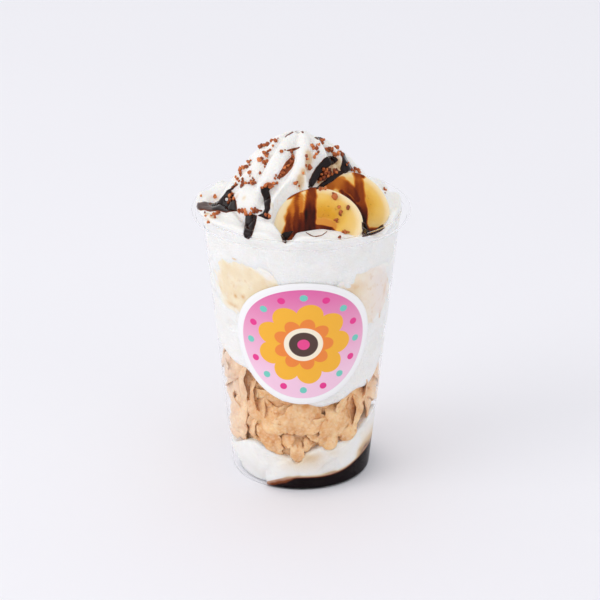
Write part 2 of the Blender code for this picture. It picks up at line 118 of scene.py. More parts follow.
def cup_outline():
    """The cup's section, from the underside's middle round the lip to the middle of the floor."""
    taper = math.degrees(math.atan2(WALL_TOP_RADIUS - BASE_RADIUS, WALL_TOP))
    raised = BASE_RISE + WALL / 2
    corner_height = WALL / 2 + CORNER_RADIUS
    touch = corner_height - CORNER_RADIUS * math.sin(math.radians(taper))
    corner = wall_outside(touch) - WALL / 2 - CORNER_RADIUS * math.cos(math.radians(taper))
    lip = (RIM_RADIUS - LIP_SHEET / 2 - LIP_RADIUS, CUP_HEIGHT - LIP_SHEET / 2 - LIP_RADIUS)
    line = [(0.0, raised), (0.6 * FOOT_INSIDE, raised)]
    for share in np.linspace(0, 1, 9):
        drop = smooth_step(0, 1, share)
        line.append((FOOT_INSIDE - FOOT_SLOPE * (1 - share), raised + (WALL / 2 - raised) * drop))
    line += arc((corner, corner_height), CORNER_RADIUS, -90, -taper, 10)
    for height in np.linspace(0.006, WALL_TOP - 0.0012, 18):
        line.append((wall_outside(height) - WALL / 2, height))
    line += arc(lip, LIP_RADIUS, 188, -75, 26)
    line = np.array(line)
    along = np.gradient(line, axis=0)
    along /= np.linalg.norm(along, axis=1, keepdims=True)
    across = np.stack([along[:, 1], -along[:, 0]], axis=1)
    half = np.where(line[:, 1] > WALL_TOP, LIP_SHEET, WALL)[:, None] / 2
    outer, inner = line + across * half, line - across * half
    outer[0, 0] = inner[0, 0] = 0
    return np.concatenate([outer, inner[::-1]])


def ringed_mesh(name, rings, start, end):
    """A closed mesh over rings of points, with a pole before the first ring and after the last."""
    rings = np.asarray(rings)
    rows, steps = rings.shape[:2]
    count = np.arange(rows * steps).reshape(rows, steps)
    after = np.roll(count, -1, axis=1)
    quads = np.stack([count[:-1], after[:-1], after[1:], count[1:]], axis=-1).reshape(-1, 4)
    first, last = rows * steps, rows * steps + 1
    fans = [(first, b, a) for a, b in zip(count[0], after[0])]
    fans += [(a, b, last) for a, b in zip(count[-1], after[-1])]
    points = [*rings.reshape(-1, 3).tolist(), tuple(start), tuple(end)]
    mesh = bpy.data.meshes.new(name)
    mesh.from_pydata(points, [], quads.tolist() + [tuple(map(int, fan)) for fan in fans])
    face_outwards(mesh)
    return mesh


def face_outwards(mesh):
    """Turns the faces of closed shells outwards."""
    bm = bmesh.new()
    bm.from_mesh(mesh)
    bmesh.ops.recalc_face_normals(bm, faces=bm.faces)
    bm.to_mesh(mesh)
    bm.free()


def add_object(name, data):
    """An object in the scene that holds a mesh, a lamp or a camera."""
    thing = bpy.data.objects.new(name, data)
    bpy.context.scene.collection.objects.link(thing)
    return thing


def add_piece(name, mesh, finish, slot, *nodes):
    """A smooth piece on the object's one body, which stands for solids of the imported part."""
    mesh.materials.clear()
    mesh.materials.append(finish)
    mesh.shade_smooth()
    piece = add_object(name, mesh)
    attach(piece, "root")
    if nodes:
        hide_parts(*nodes)
    return piece


def add_node(tree, kind, inputs=None, **settings):
    """A shader node with its settings, and its inputs given as values or as other nodes' outputs."""
    made = tree.nodes.new(kind)
    for key, value in settings.items():
        setattr(made, key, value)
    feed(made, inputs or {})
    return made


def feed(made, inputs):
    """Gives inputs of a node, by name or number, a value or a link."""
    for key, value in inputs.items():
        if isinstance(value, bpy.types.NodeSocket):
            made.id_data.links.new(value, made.inputs[key])
        else:
            made.inputs[key].default_value = value


def new_finish(name, inputs):
    """A material and its tree, with values for the Principled shader."""
    finish = bpy.data.materials.new(name)
    finish.use_nodes = True
    feed(finish.node_tree.nodes["Principled BSDF"], inputs)
    return finish, finish.node_tree


def calc(tree, operation, *values):
    """What a Math node works out."""
    return add_node(tree, "ShaderNodeMath", dict(enumerate(values)), operation=operation).outputs[0]


def ranged(tree, value, low, high, first=0.0, last=1.0):
    """A value that goes from first to last as another goes from low to high."""
    made = add_node(tree, "ShaderNodeMapRange", {
        "Value": value, "From Min": low, "From Max": high, "To Min": first, "To Max": last})
    return made.outputs[0]


def bump(tree, height, strength, depth):
    """A normal from a height of 0 to 1 that stands for a depth in metres."""
    inputs = {"Height": height, "Strength": strength, "Distance": depth}
    return add_node(tree, "ShaderNodeBump", inputs).outputs[0]


def mottle_group():
    """Soft patches between 0 and 1 over the object, shared by the foods and the plastic."""
    group = bpy.data.node_groups.new("mottle", "ShaderNodeTree")
    for name, value in (("Scale", 100.0), ("Detail", 2.0), ("Low", 0.3), ("High", 0.7)):
        group.interface.new_socket(name, in_out="INPUT", socket_type="NodeSocketFloat").default_value = value
    group.interface.new_socket("Mask", in_out="OUTPUT", socket_type="NodeSocketFloat")
    given = group.nodes.new("NodeGroupInput").outputs
    where = group.nodes.new("ShaderNodeTexCoord").outputs["Object"]
    cloud = add_node(group, "ShaderNodeTexNoise",
                     {"Vector": where, "Scale": given["Scale"], "Detail": given["Detail"]})
    spread = ranged(group, cloud.outputs[0], given["Low"], given["High"])
    feed(group.nodes.new("NodeGroupOutput"), {"Mask": spread})
    return group


MOTTLE = mottle_group()


def mottle(tree, scale, detail=2.0, low=0.3, high=0.7):
    """A mask of soft patches; scale is their count in a metre."""
    made = tree.nodes.new("ShaderNodeGroup")
    made.node_tree = MOTTLE
    feed(made, {"Scale": scale, "Detail": detail, "Low": low, "High": high})
    return made.outputs["Mask"]


def clear_plastic():
    """Clear glossy plastic that lets lamps shine onto what it holds."""
    finish, tree = new_finish("clear_plastic", {
        "Base Color": (1, 1, 1, 1), "Roughness": 0.03, "IOR": 1.05, "Transmission Weight": 1.0,
        "Coat Weight": 0.05, "Coat Roughness": 0.03, "Coat IOR": 1.5})
    glass = tree.nodes["Principled BSDF"]
    feed(glass, {"Normal": bump(tree, mottle(tree, 90, 1.0), 0.06, 0.0002)})
    light = add_node(tree, "ShaderNodeLightPath").outputs
    through = calc(tree, "MAXIMUM", light["Is Shadow Ray"], light["Is Diffuse Ray"])
    open_air = add_node(tree, "ShaderNodeBsdfTransparent", {"Color": (0.985, 0.987, 0.99, 1)})
    both = add_node(tree, "ShaderNodeMixShader",
                    {0: through, 1: glass.outputs[0], 2: open_air.outputs[0]})
    feed(tree.nodes["Material Output"], {"Surface": both.outputs[0]})
    return finish


outline = cup_outline()
turns = np.arange(CUP_STEPS) * 360 / CUP_STEPS
cup_rings = [polar(turns, radius, height) for radius, height in outline[1:-1]]
cup_mesh = ringed_mesh("clear_cup", cup_rings, on_axis(outline[0, 1]), on_axis(outline[-1, 1]))
add_piece("clear_cup", cup_mesh, clear_plastic(), "clear_cup", "cup")


# ================================================================ chocolate sauce in the base
# A pool of thick dark sauce, poured in first. It ran to the front right, where it stands deepest against
# the wall, and it is brown where it is thin, along its upper edge.
# The pool's height at the wall, as (angle, height).
SAUCE_TOP = ((-180, 0.0040), (-150, 0.0026), (-110, 0.0008), (-60, 0.0006), (-40, 0.0007), (-34, 0.0010),
             (-29, 0.0027), (-22, 0.0047), (-13, 0.0066), (-1, 0.0073), (12, 0.0072), (20, 0.0072),
             (29, 0.0076), (37, 0.0081), (42, 0.0089), (47, 0.0098), (52, 0.0108), (57, 0.0117),
             (63, 0.0126), (69, 0.0133), (76, 0.0141), (95, 0.0130), (120, 0.0095), (150, 0.0060))
SAUCE_MEAN = 0.0062
SOFTEN = 4.0                    # degrees over which its corners are softened
INTO_WALL = 0.00015             # the filling reaches this far into the wall, so that no gap shows
SAUCE_FILM = 0.00012            # the pool's depth at its shallowest
BARE_FROM, BARE_TO = 0.0024, 0.0009    # the wall goes bare as the pool sinks from here to here
POOL_EDGE = 0.0050              # where the pool is shallow it stops this far short of the wall
LAYER_STEPS = 240


def around(rows, angle):
    """A value from rows of (angle, value) round the cup, with its corners softened."""
    at, values = zip(*rows)
    return np.mean([np.interp(angle + shift, at, values, period=360)
                    for shift in np.linspace(-SOFTEN, SOFTEN, 7)], axis=0)


def reach(height):
    """How far the filling reaches out, just into the wall, and at the top just into the lip."""
    lip_low = CUP_HEIGHT - LIP_RADIUS
    spread = RIM_RADIUS - 2 * LIP_RADIUS - INTO_WALL - (WALL_TOP_RADIUS - WALL + INTO_WALL)
    return wall_outside(height) - WALL + INTO_WALL + spread * smooth_step(WALL_TOP - 0.002, lip_low, height)


def ripple(points, size, seed=0, octaves=1):
    """Smooth noise of about -1 to 1 at each point, with bumps of a given size."""
    shift = Vector((seed * 7.31, seed * 3.17, seed * 5.73))
    values = [noise.fractal(Vector(p) + shift, 1.0, 2.0, octaves) for p in points.reshape(-1, 3) / size]
    return np.array(values).reshape(points.shape[:-1])


def layer_mesh(name, low, high, rows, relief):
    """A closed layer: out over its underside, up its side, and in over its top."""
    angles = np.arange(LAYER_STEPS) * 360 / LAYER_STEPS
    shares = np.array([0.12, 0.3, 0.5, 0.7, 0.85, 0.94])
    foot, head = low(1.0, angles), high(1.0, angles)
    sides = []
    for share in np.linspace(0, 1, rows + 1):
        height = foot + (head - foot) * share
        side = polar(angles, reach(height), height)
        sides.append((reach(height) - relief(side, angles, share), height))
    rings = [polar(angles, share * sides[0][0], low(share, angles)) for share in shares]
    rings += [polar(angles, radius, height) for radius, height in sides]
    rings += [polar(angles, share * sides[-1][0], high(share, angles)) for share in shares[::-1]]
    return ringed_mesh(name, rings, on_axis(low(0, 0)), on_axis(high(0, 0)))


def points_of(mesh):
    """A mesh's points, as rows of x, y, z."""
    return np.array([vert.co for vert in mesh.vertices])


def angle_of(points):
    """The angle from the front at which points lie."""
    return np.degrees(np.arctan2(points[..., 0], -points[..., 1]))


def add_values(mesh, name, values):
    """A value on each point of a mesh, which its material reads."""
    mesh.attributes.new(name, "FLOAT", "POINT").data.foreach_set("value", np.asarray(values, np.float32))


def read_values(tree, name):
    """A mesh's values in its material."""
    return add_node(tree, "ShaderNodeAttribute", attribute_name=name).outputs["Fac"]


def sauce_floor(share, angle):
    """The cup's floor, a little inside the plastic."""
    in_middle = 1 - smooth_step(0.72, 0.80, share)
    return 0.75 * WALL + BASE_RISE * in_middle + 0 * angle


def sauce_top(share, angle):
    """The pool's surface, which never falls below a film over the base."""
    surface = SAUCE_MEAN + share * (around(SAUCE_TOP, angle) - SAUCE_MEAN)
    return np.maximum(surface, sauce_floor(share, angle) + SAUCE_FILM)


def bare(angle):
    """1 where no sauce reaches the wall."""
    return 1 - smooth_step(BARE_TO, BARE_FROM, sauce_top(1.0, angle))


def sauce_relief(side, angle, share):
    """The pool's side: it follows the cup's lower corner, and retreats where there is little sauce."""
    inner = CORNER_RADIUS - WALL / 2 + INTO_WALL
    below = np.clip(WALL / 2 + CORNER_RADIUS - side[..., 2], 0, inner)
    corner = inner - np.sqrt(inner ** 2 - below ** 2)
    return corner + POOL_EDGE * bare(angle)


def ramp(tree, share, stops):
    """A colour that runs through given ones, at places from 0 to 1."""
    made = add_node(tree, "ShaderNodeValToRGB", {"Fac": share})
    elements = made.color_ramp.elements
    elements[0].color = stops.pop(0)
    elements[1].color = stops.pop(1)
    for place, colour in stops.items():
        elements.new(place).color = colour
    return made.outputs[0]


def paint(red, green, blue):
    """A shader colour from values of 0 to 255 as a screen shows them."""
    values = [value / 255 for value in (red, green, blue)]
    return (*[((v + 0.055) / 1.055) ** 2.4 if v > 0.04 else v / 12.92 for v in values], 1.0)


def dress(tree, colour, normal):
    """Gives the Principled shader its colour and normal."""
    feed(tree.nodes["Principled BSDF"], {"Base Color": colour, "Normal": normal})


def chocolate_sauce(name, gloss, fringe, deep):
    """Dark sauce; its body value is 0 where it is a thin brown film and 1 where it is deep."""
    finish, tree = new_finish(name, {"Roughness": 0.16, "Specular IOR Level": gloss})
    brown = ramp(tree, read_values(tree, "body"), {
        0: fringe, 0.16: paint(124, 66, 38), 0.34: paint(78, 38, 26), 0.6: paint(34, 17, 16), 1: deep})
    dress(tree, brown, bump(tree, mottle(tree, 260), 0.4, 0.0003))
    return finish


def thin_band(angle):
    """The height of the band where the sauce is thin against the wall, widest at the left."""
    return 0.0008 + 0.0024 * (1 - smooth_step(-14, -3, angle))


pressed_sauce = chocolate_sauce("chocolate_sauce_at_wall", 0.05, paint(206, 168, 144), paint(20, 12, 14))
sauce_mesh = layer_mesh("sauce_pool", sauce_floor, sauce_top, 24, sauce_relief)
spots = points_of(sauce_mesh)
spot_angle = angle_of(spots)
sunk = (sauce_top(1.0, spot_angle) - spots[:, 2]) / thin_band(spot_angle) + 0.12 * ripple(spots, 0.002)
add_values(sauce_mesh, "body", 0.30 * np.clip(sunk, 0, 1) + 0.70 * smooth_step(0.75, 1.25, sunk))
add_piece("sauce_pool", sauce_mesh, pressed_sauce, "chocolate_sauce", "sauce_base")


# ================================================================ whipped cream over the sauce
# Soft whipped cream squeezed onto the sauce. It is pressed flat where it touches the wall and draws
# back a little in the creases between its lobes.
CREAM_BASE_TOP = (0.0216, ((0.0048, 1, 103), (0.0011, 2, 56), (0.0025, 3, -43), (0.0021, 6, 16)))
CREASE = 0.0011                 # how far cream draws back from the wall in a crease
FOOT_LIFT = 0.0030              # how far it draws in at its foot where no sauce fills the corner
FOOT_TALL = 0.014               # that ends at this height
BED_DEPTH = 0.0022              # a flake that lies nearer the wall than this presses a bed in the cream
BED_SUNK = 0.0030               # and the bed is this deep
# Flakes that show at the front: angle, height, half width, spin, lean back, sway, depth from the wall
# and kind. The later rows fill gaps. The first kinds have the shares of width to length that come after,
# and the others are the plainer kinds of the rows behind.
FRONT_FLAKES = (
    (0, 0.0372, 0.0104, 20, 4, 6, 0.0012, 0),
    (-27, 0.0362, 0.0088, 150, -8, -12, 0.0024, 1),
    (-26, 0.0262, 0.0082, 128, -8, 8, 0.0010, 3),
    (-11.5, 0.0254, 0.0042, 60, -6, -10, 0.0014, 6),
    (-3.5, 0.0208, 0.0068, 96, -6, 4, 0.0010, 4),
    (6, 0.0240, 0.0040, 70, -6, 20, 0.0014, 7),
    (28, 0.0338, 0.0104, 62, -4, 8, 0.0012, 2),
    (24.5, 0.0234, 0.0046, 10, -4, 0, 0.0012, 6),
    (17, 0.0262, 0.0040, 110, -10, 0, 0.0016, 7),
    (51, 0.0375, 0.0098, 96, -8, 22, 0.0016, 4),
    (43, 0.0262, 0.0056, 50, -6, -16, 0.0014, 5),
    (-59, 0.0300, 0.0108, 92, -4, 8, 0.0014, 3),
    (-44, 0.0285, 0.0078, 84, 10, -28, 0.0026, 4),
    (-52, 0.0500, 0.0098, 80, 6, -40, 0.0018, 1),
    (-40.5, 0.0462, 0.0088, 98, 4, -44, 0.0016, 4),
    (-25, 0.0478, 0.0074, 8, 34, 8, 0.0022, 3),
    (-63, 0.0560, 0.0086, 74, -10, 34, 0.0018, 2),
    (9, 0.0455, 0.0076, 220, 34, -12, 0.0034, 5),
    (14, 0.0300, 0.0070, 330, -14, 16, 0.0030, 2),
    (60, 0.0480, 0.0078, 100, 0, 30, 0.0020, 5),
    (-14, 0.0320, 0.0074, 40, 0, -20, 0.0036, 1),
    (38, 0.0420, 0.0070, 140, 20, 30, 0.0032, 0),
    (-36, 0.0300, 0.0090, 70, 6, 10, 0.0036, 8),
    (-37.5, 0.0400, 0.0092, 100, -6, 0, 0.0030, 9),
    (-34, 0.0490, 0.0080, 20, 0, 0, 0.0031, 10),
    (40, 0.0330, 0.0090, 40, 0, 0, 0.0030, 11),
    (-46, 0.0275, 0.0066, 0, 0, 0, 0.0030, 12),
    (-45, 0.0480, 0.0080, 90, 0, 0, 0.0030, 13),
    (-13.5, 0.0400, 0.0052, 30, 0, 0, 0.0026, 12),
    (53, 0.0450, 0.0086, 60, 0, 0, 0.0036, 8),
    (-50, 0.0390, 0.0090, 30, 0, 0, 0.0038, 10),
)
FLAKE_SHAPES = (0.86, 0.80, 0.74, 0.60, 0.46, 0.56, 0.80, 0.62)
# Warm stains that flakes have left on the cream: angle, height, share, width, height.
BASE_STAINS = ((2, 0.0165, 0.25, 19, 0.0058), (24, 0.0190, 0.12, 14, 0.0038))
FILM_FROM, FILM_TO = (47, 60), (84, 130)    # a film of sauce above the pool fades in and out here
FILM_TALL = 0.0040
EDGE_TALL = 0.0005              # the brown line along the pool's edge


def level(surface, angle, share=1.0):
    """The height of a wavy surface; its waves fade towards the middle, where share is 0."""
    mean, waves = surface
    return mean + share * sum(size * np.cos(np.radians(count * (angle - crest)))
                              for size, count, crest in waves)


def cream_base_top(share, angle):
    """The top of this cream, from the middle out to the wall."""
    return level(CREAM_BASE_TOP, angle, share)


def lobes(side, size, seed):
    """Creases of cream along the wall, 0 where it is pressed flat."""
    bent = side * (1, 1, 1.3) + 0.3 * size * ripple(side, size, seed + 5)[..., None]
    return smooth_step(0.10, 0.42, ripple(bent, size, seed))


def wrapped(angle):
    """The same angle between -180 and 180."""
    return (angle + 180) % 360 - 180


def spun(x, y, degrees):
    """A place turned about the middle."""
    turn = math.radians(degrees)
    return x * math.cos(turn) - y * math.sin(turn), x * math.sin(turn) + y * math.cos(turn)


def flake_beds(side):
    """1 where a flake of the front lies against the wall, so that the cream makes room for it."""
    bed = 0.0 * side[..., 0]
    for angle, height, size, spin, _, _, depth, kind in FRONT_FLAKES:
        if depth < BED_DEPTH:
            away = np.radians(wrapped(angle_of(side) - angle)) * reach(height)
            x, y = spun(away / size, (side[..., 2] - height) / size, -spin)
            bed = np.maximum(bed, 1 - smooth_step(0.86, 1.04, np.hypot(x, y / FLAKE_SHAPES[kind])))
    return bed


def base_relief(side, angle, share):
    """Creases, beds for flakes, and a foot that draws in where no sauce fills the corner."""
    foot = FOOT_LIFT * bare(angle) * (1 - smooth_step(0.0, FOOT_TALL, side[..., 2])) ** 1.6
    upper = 0.0004 * smooth_step(0.9, 1.0, share)
    return np.maximum(CREASE * lobes(side, 0.011, 3) + foot + upper, BED_SUNK * flake_beds(side))


def mix(tree, share, first, second):
    """A colour between two others."""
    made = add_node(tree, "ShaderNodeMix", {0: share, 6: first, 7: second}, data_type="RGBA")
    return made.outputs[2]


def whipped_cream():
    """Matt, slightly translucent white; its stain value is 1 where sauce has tinted it."""
    finish, tree = new_finish("whipped_cream", {
        "Roughness": 0.5, "Specular IOR Level": 0.3, "Subsurface Weight": 0.35,
        "Subsurface Radius": (0.0035, 0.0028, 0.0022), "Subsurface Scale": 1.0})
    white = mix(tree, mottle(tree, 160), paint(247, 246, 244), paint(243, 241, 237))
    stain = read_values(tree, "stain")
    tint = ramp(tree, stain, {
        0: paint(240, 226, 205), 0.45: paint(216, 184, 140),
        0.72: paint(170, 134, 110), 1: paint(96, 58, 44)})
    froth = mottle(tree, 900, 3.0, 0.35, 0.65)
    dress(tree, mix(tree, ranged(tree, stain, 0.0, 0.25), white, tint), bump(tree, froth, 0.6, 0.0003))
    return finish


def base_stain(spots):
    """Stains by the flakes, and a grey-brown film of sauce up the wall at the right."""
    angle = angle_of(spots)
    stain = np.zeros(len(spots))
    for at, height, share, wide, tall in BASE_STAINS:
        away = ((angle - at) / wide) ** 2 + ((spots[:, 2] - height) / tall) ** 2
        stain = np.maximum(stain, share * np.exp(-away))
    above = spots[:, 2] - sauce_top(1.0, angle)
    film = smooth_step(*FILM_FROM, angle) * (1 - smooth_step(*FILM_TO, angle))
    film = film * np.exp(-np.maximum(above, 0) / FILM_TALL) * (0.9 + 0.2 * ripple(spots, 0.003, 6))
    edge = 0.55 * smooth_step(-18, -10, angle) * np.exp(-np.maximum(above, 0) / EDGE_TALL)
    return np.maximum(stain * (1 + 0.4 * ripple(spots, 0.004, 7)), np.maximum(film, edge))


cream_finish = whipped_cream()
base_mesh = layer_mesh("base_cream", sauce_top, cream_base_top, 48, base_relief)
add_values(base_mesh, "stain", base_stain(points_of(base_mesh)))
add_piece("base_cream", base_mesh, cream_finish, "whipped_cream", "cream_base")


# ================================================================ cornflakes
# A loose heap of toasted flakes of corn, curled, blistered and uneven, poured in dry. Those at the wall
# lie against the plastic; behind them the heap is a lumpy core of nearly the same colour.
FLAKES_TOP = (0.0552, ((0.0062, 1, -135), (0.0042, 2, -73), (0.0016, 3, -52), (0.0010, 4, 31)))
CORE_INSET = 0.0040             # how far behind the wall the core lies
CORE_LUMPS = ((0.0010, 0.007, 21), (0.0005, 0.0022, 22))    # height, size and seed
FLAKE_THICK = 0.050             # a share of its half width
# Waves of a flake's edge, as their count round it and their size, and nicks in that edge.
FLAKE_WAVES = ((2, 0.07), (3, 0.08), (5, 0.05), (8, 0.035), (13, 0.028), (19, 0.018))
NICKS = 3
BLISTERS = 42
FLAKE_BUMPS = (0.0028, 0.0006)  # size and height
FLAKE_SEED = 11
PRESS = 0.00004                 # flakes at the wall stand out of the cream by this
# The rows round the rest of the heap, as shares of its height, in two layers: at the wall and behind.
BACK_ROWS = (0.14, 0.42, 0.68, 0.92)
BACK_PER_ROW = 15
BACK_DEPTHS = ((0.0012, 0.0028), (0.0044, 0.0060))    # from the wall, for each layer
BACK_SIZES = (0.0066, 0.0094)
BACK_LEAN = 34                  # they lean and sway by up to this
PLAIN_KINDS = 6                 # kinds of flake in each layer
FRONT_SPAN = (-70, 66)          # FRONT_FLAKES fill the wall between these angles


def flakes_top(share, angle):
    """The top of the heap, from the middle out to the wall."""
    return level(FLAKES_TOP, angle, share)


def core_rings():
    """The heap behind the flakes, lumpy, and wide of the wall."""
    angles = np.arange(LAYER_STEPS) * 360 / LAYER_STEPS
    foot, head = cream_base_top(1.0, angles) - 0.001, flakes_top(1.0, angles) + 0.001
    rings = []
    for share in np.linspace(0, 1, 40):
        height = foot + (head - foot) * share
        side = polar(angles, reach(height) - CORE_INSET, height)
        lumps = sum(tall * ripple(side, size, seed) for tall, size, seed in CORE_LUMPS)
        rings.append(polar(angles, reach(height) - CORE_INSET + lumps, height))
    return rings


def flake_mesh(draw, narrow, rings, spokes):
    """One curled and blistered flake, about 2 across, lying flat with its hollow side down."""
    waves = [(count, size * draw.uniform(0.5, 1.2), draw.uniform(0, 7)) for count, size in FLAKE_WAVES]
    nicks = [(draw.uniform(0, 2 * math.pi), draw.uniform(0.06, 0.16), draw.uniform(0.08, 0.2))
             for _ in range(NICKS)]
    bend, across, twist = draw.uniform(0.45, 0.9), draw.uniform(-0.25, 0.30), draw.uniform(-0.3, 0.3)
    seed = draw.uniform(0, 50)
    blisters = []
    for _ in range(BLISTERS):
        way, out = draw.uniform(0, 2 * math.pi), math.sqrt(draw.uniform(0, 1))
        wide = draw.triangular(0.05, 0.20, 0.08)
        blisters.append((out * math.cos(way), out * math.sin(way) * narrow, wide,
                         wide * draw.uniform(0.12, 0.32)))

    def place(share, count, side):
        ray = 2 * math.pi * count / spokes
        outline = 1 + sum(size * np.cos(times * ray + phase) for times, size, phase in waves)
        for at, deep, wide in nicks:
            beside = (ray - at + math.pi) % (2 * math.pi) - math.pi
            outline = outline - deep * np.exp(-(beside / wide) ** 2)
        x = share * (1 + (outline - 1) * share) * np.cos(ray)
        y = share * (1 + (outline - 1) * share) * np.sin(ray) * narrow
        raised = sum(high * np.exp(-((x - bx) ** 2 + (y - by) ** 2) / wide ** 2)
                     for bx, by, wide, high in blisters)
        spots = np.stack([x, y, 0 * x], axis=-1)
        raised = raised + 0.09 * ripple(spots, 0.55, seed) + 0.025 * ripple(spots, 0.12, seed)
        raised = raised + twist * x * y - across * y ** 2
        depth = raised * (1.0 if side > 0 else 0.8) + side * FLAKE_THICK * (1 - 0.45 * share ** 6)
        swing = x * bend * (1 + 0.25 * x * x)
        radius = 1 / bend
        return np.stack([(radius + depth) * np.sin(swing), y, (radius + depth) * np.cos(swing) - radius],
                        axis=-1)

    counts = np.arange(spokes)
    rows = [place(share, counts, 1) for share in np.linspace(0.06, 1, rings)]
    rows += [place(share, counts, -1) for share in np.linspace(0.97, 0.1, max(4, rings // 4))]
    poles = [place(0.0, np.zeros(1), side)[0] for side in (1, -1)]
    return ringed_mesh("flake_kind", rows, *poles)


def scatter_tree():
    """Puts a kind of thing on each point, turned and sized by the point's values, as real mesh."""
    tree = bpy.data.node_groups.new("scatter", "GeometryNodeTree")
    sockets = (("Points", "NodeSocketGeometry"), ("Kinds", "NodeSocketCollection"),
               ("Seed", "NodeSocketInt"), ("Bump Size", "NodeSocketFloat"),
               ("Bump Height", "NodeSocketFloat"), ("Finish", "NodeSocketMaterial"))
    for name, kind in sockets:
        tree.interface.new_socket(name, in_out="INPUT", socket_type=kind)
    tree.interface.new_socket("Mesh", in_out="OUTPUT", socket_type="NodeSocketGeometry")
    given = tree.nodes.new("NodeGroupInput").outputs
    kinds = add_node(tree, "GeometryNodeCollectionInfo", {
        "Collection": given["Kinds"], "Separate Children": True, "Reset Children": True})
    stored = {name: add_node(tree, "GeometryNodeInputNamedAttribute", {"Name": name}, data_type=form)
              for name, form in (("kind", "INT"), ("turn", "FLOAT_VECTOR"), ("size", "FLOAT"))}
    which, turn, size = [node.outputs["Attribute"] for node in stored.values()]
    aim = add_node(tree, "FunctionNodeEulerToRotation", {"Euler": turn})
    things = add_node(tree, "GeometryNodeInstanceOnPoints", {
        "Points": given["Points"], "Instance": kinds.outputs[0], "Pick Instance": True,
        "Instance Index": which, "Rotation": aim.outputs[0], "Scale": size})
    tone = add_node(tree, "FunctionNodeRandomValue", {"Seed": given["Seed"]}, data_type="FLOAT")
    tone_out = [s for s in tone.outputs if s.type == "VALUE"][0]
    toned = add_node(tree, "GeometryNodeStoreNamedAttribute", {
        "Geometry": things.outputs[0], "Name": "tone", "Value": tone_out},
        data_type="FLOAT", domain="INSTANCE")
    real = add_node(tree, "GeometryNodeRealizeInstances", {"Geometry": toned.outputs[0]})
    per_metre = calc(tree, "DIVIDE", 1.0, given["Bump Size"])
    cloud = add_node(tree, "ShaderNodeTexNoise", {"Scale": per_metre, "Detail": 1.0})
    swell = calc(tree, "SUBTRACT", cloud.outputs[0], 0.5)
    outwards = add_node(tree, "GeometryNodeInputNormal").outputs[0]
    out = add_node(tree, "ShaderNodeVectorMath", {
        0: outwards, "Scale": calc(tree, "MULTIPLY", swell, given["Bump Height"])}, operation="SCALE")
    moved = add_node(tree, "GeometryNodeSetPosition", {
        "Geometry": real.outputs[0], "Offset": out.outputs[0]})
    done = add_node(tree, "GeometryNodeSetMaterial", {
        "Geometry": moved.outputs[0], "Material": given["Finish"]})
    feed(tree.nodes.new("NodeGroupOutput"), {0: done.outputs[0]})
    return tree


SCATTER = scatter_tree()


def scattered(name, places, kinds, finish, seed, bump_size, bump_height):
    """One mesh of many things; places holds rows of (spot, turn, size, kind)."""
    points = bpy.data.meshes.new(name)
    points.from_pydata([tuple(row[0]) for row in places], [], [])
    points.attributes.new("turn", "FLOAT_VECTOR", "POINT").data.foreach_set(
        "vector", np.array([tuple(row[1]) for row in places], np.float32).ravel())
    add_values(points, "size", [row[2] for row in places])
    points.attributes.new("kind", "INT", "POINT").data.foreach_set("value", [row[3] for row in places])
    shelf = bpy.data.collections.new(name + "_kinds")
    for count, mesh in enumerate(kinds):
        shelf.objects.link(bpy.data.objects.new(f"{name}_kind_{count:02d}", mesh))
    holder = add_object(name + "_points", points)
    change = holder.modifiers.new("scatter", "NODES")
    change.node_group = SCATTER
    values = {"Kinds": shelf, "Seed": seed, "Bump Size": bump_size, "Bump Height": bump_height,
              "Finish": finish}
    for item in SCATTER.interface.items_tree:
        if item.name in values:
            change[item.identifier] = values[item.name]
    bpy.context.view_layer.update()
    mesh = bpy.data.meshes.new_from_object(holder.evaluated_get(bpy.context.evaluated_depsgraph_get()))
    bpy.data.objects.remove(holder)
    for thing in list(shelf.objects):
        bpy.data.objects.remove(thing)
    bpy.data.collections.remove(shelf)
    return mesh


def flake_turn(angle, spin, lean, sway):
    """The turn of a flake that faces out of the wall, as Euler angles."""
    aim = Matrix.Identity(3)
    for degrees, axis in ((angle, "Z"), (90, "X"), (lean, "X"), (sway, "Y"), (spin, "Z")):
        aim = aim @ Matrix.Rotation(math.radians(degrees), 3, axis)
    return aim.to_euler()


def flake_places():
    """The flakes of the front where the photograph has them, then rows round the rest and behind."""
    places = []
    for angle, height, size, spin, lean, sway, depth, kind in FRONT_FLAKES:
        spot = polar(angle, reach(height) - depth, height)
        places.append((spot, flake_turn(angle, spin, lean, sway), size, kind))
    draw = random.Random(FLAKE_SEED)
    for row, share in enumerate(BACK_ROWS):
        for behind in (False, True):
            for count in range(BACK_PER_ROW):
                angle = (count + 0.5 * ((row + behind) % 2) + draw.uniform(-0.2, 0.2)) * 360 / BACK_PER_ROW
                angle = wrapped(angle)
                low, high = cream_base_top(1, angle) + 0.0050, flakes_top(1, angle) - 0.003
                height = low + (high - low) * (share + draw.uniform(-0.07, 0.07))
                depth = draw.uniform(*BACK_DEPTHS[behind])
                size = draw.uniform(*BACK_SIZES)
                turn = flake_turn(angle, draw.uniform(0, 360), draw.uniform(-BACK_LEAN, BACK_LEAN),
                                  draw.uniform(-BACK_LEAN, BACK_LEAN))
                kind = len(FLAKE_SHAPES) + draw.randrange(PLAIN_KINDS) + PLAIN_KINDS * behind
                if behind or not FRONT_SPAN[0] < angle < FRONT_SPAN[1]:
                    places.append((polar(angle, reach(height) - depth, height), turn, size, kind))
    return places


def press_on_wall(mesh):
    """Flattens what would stand out of the cup, just within its wall."""
    spots = points_of(mesh)
    radius = np.hypot(spots[:, 0], spots[:, 1])
    pressed = np.minimum(radius, reach(spots[:, 2]) + PRESS)
    spots[:, :2] *= (pressed / radius)[:, None]
    mesh.vertices.foreach_set("co", spots.astype(np.float32).ravel())


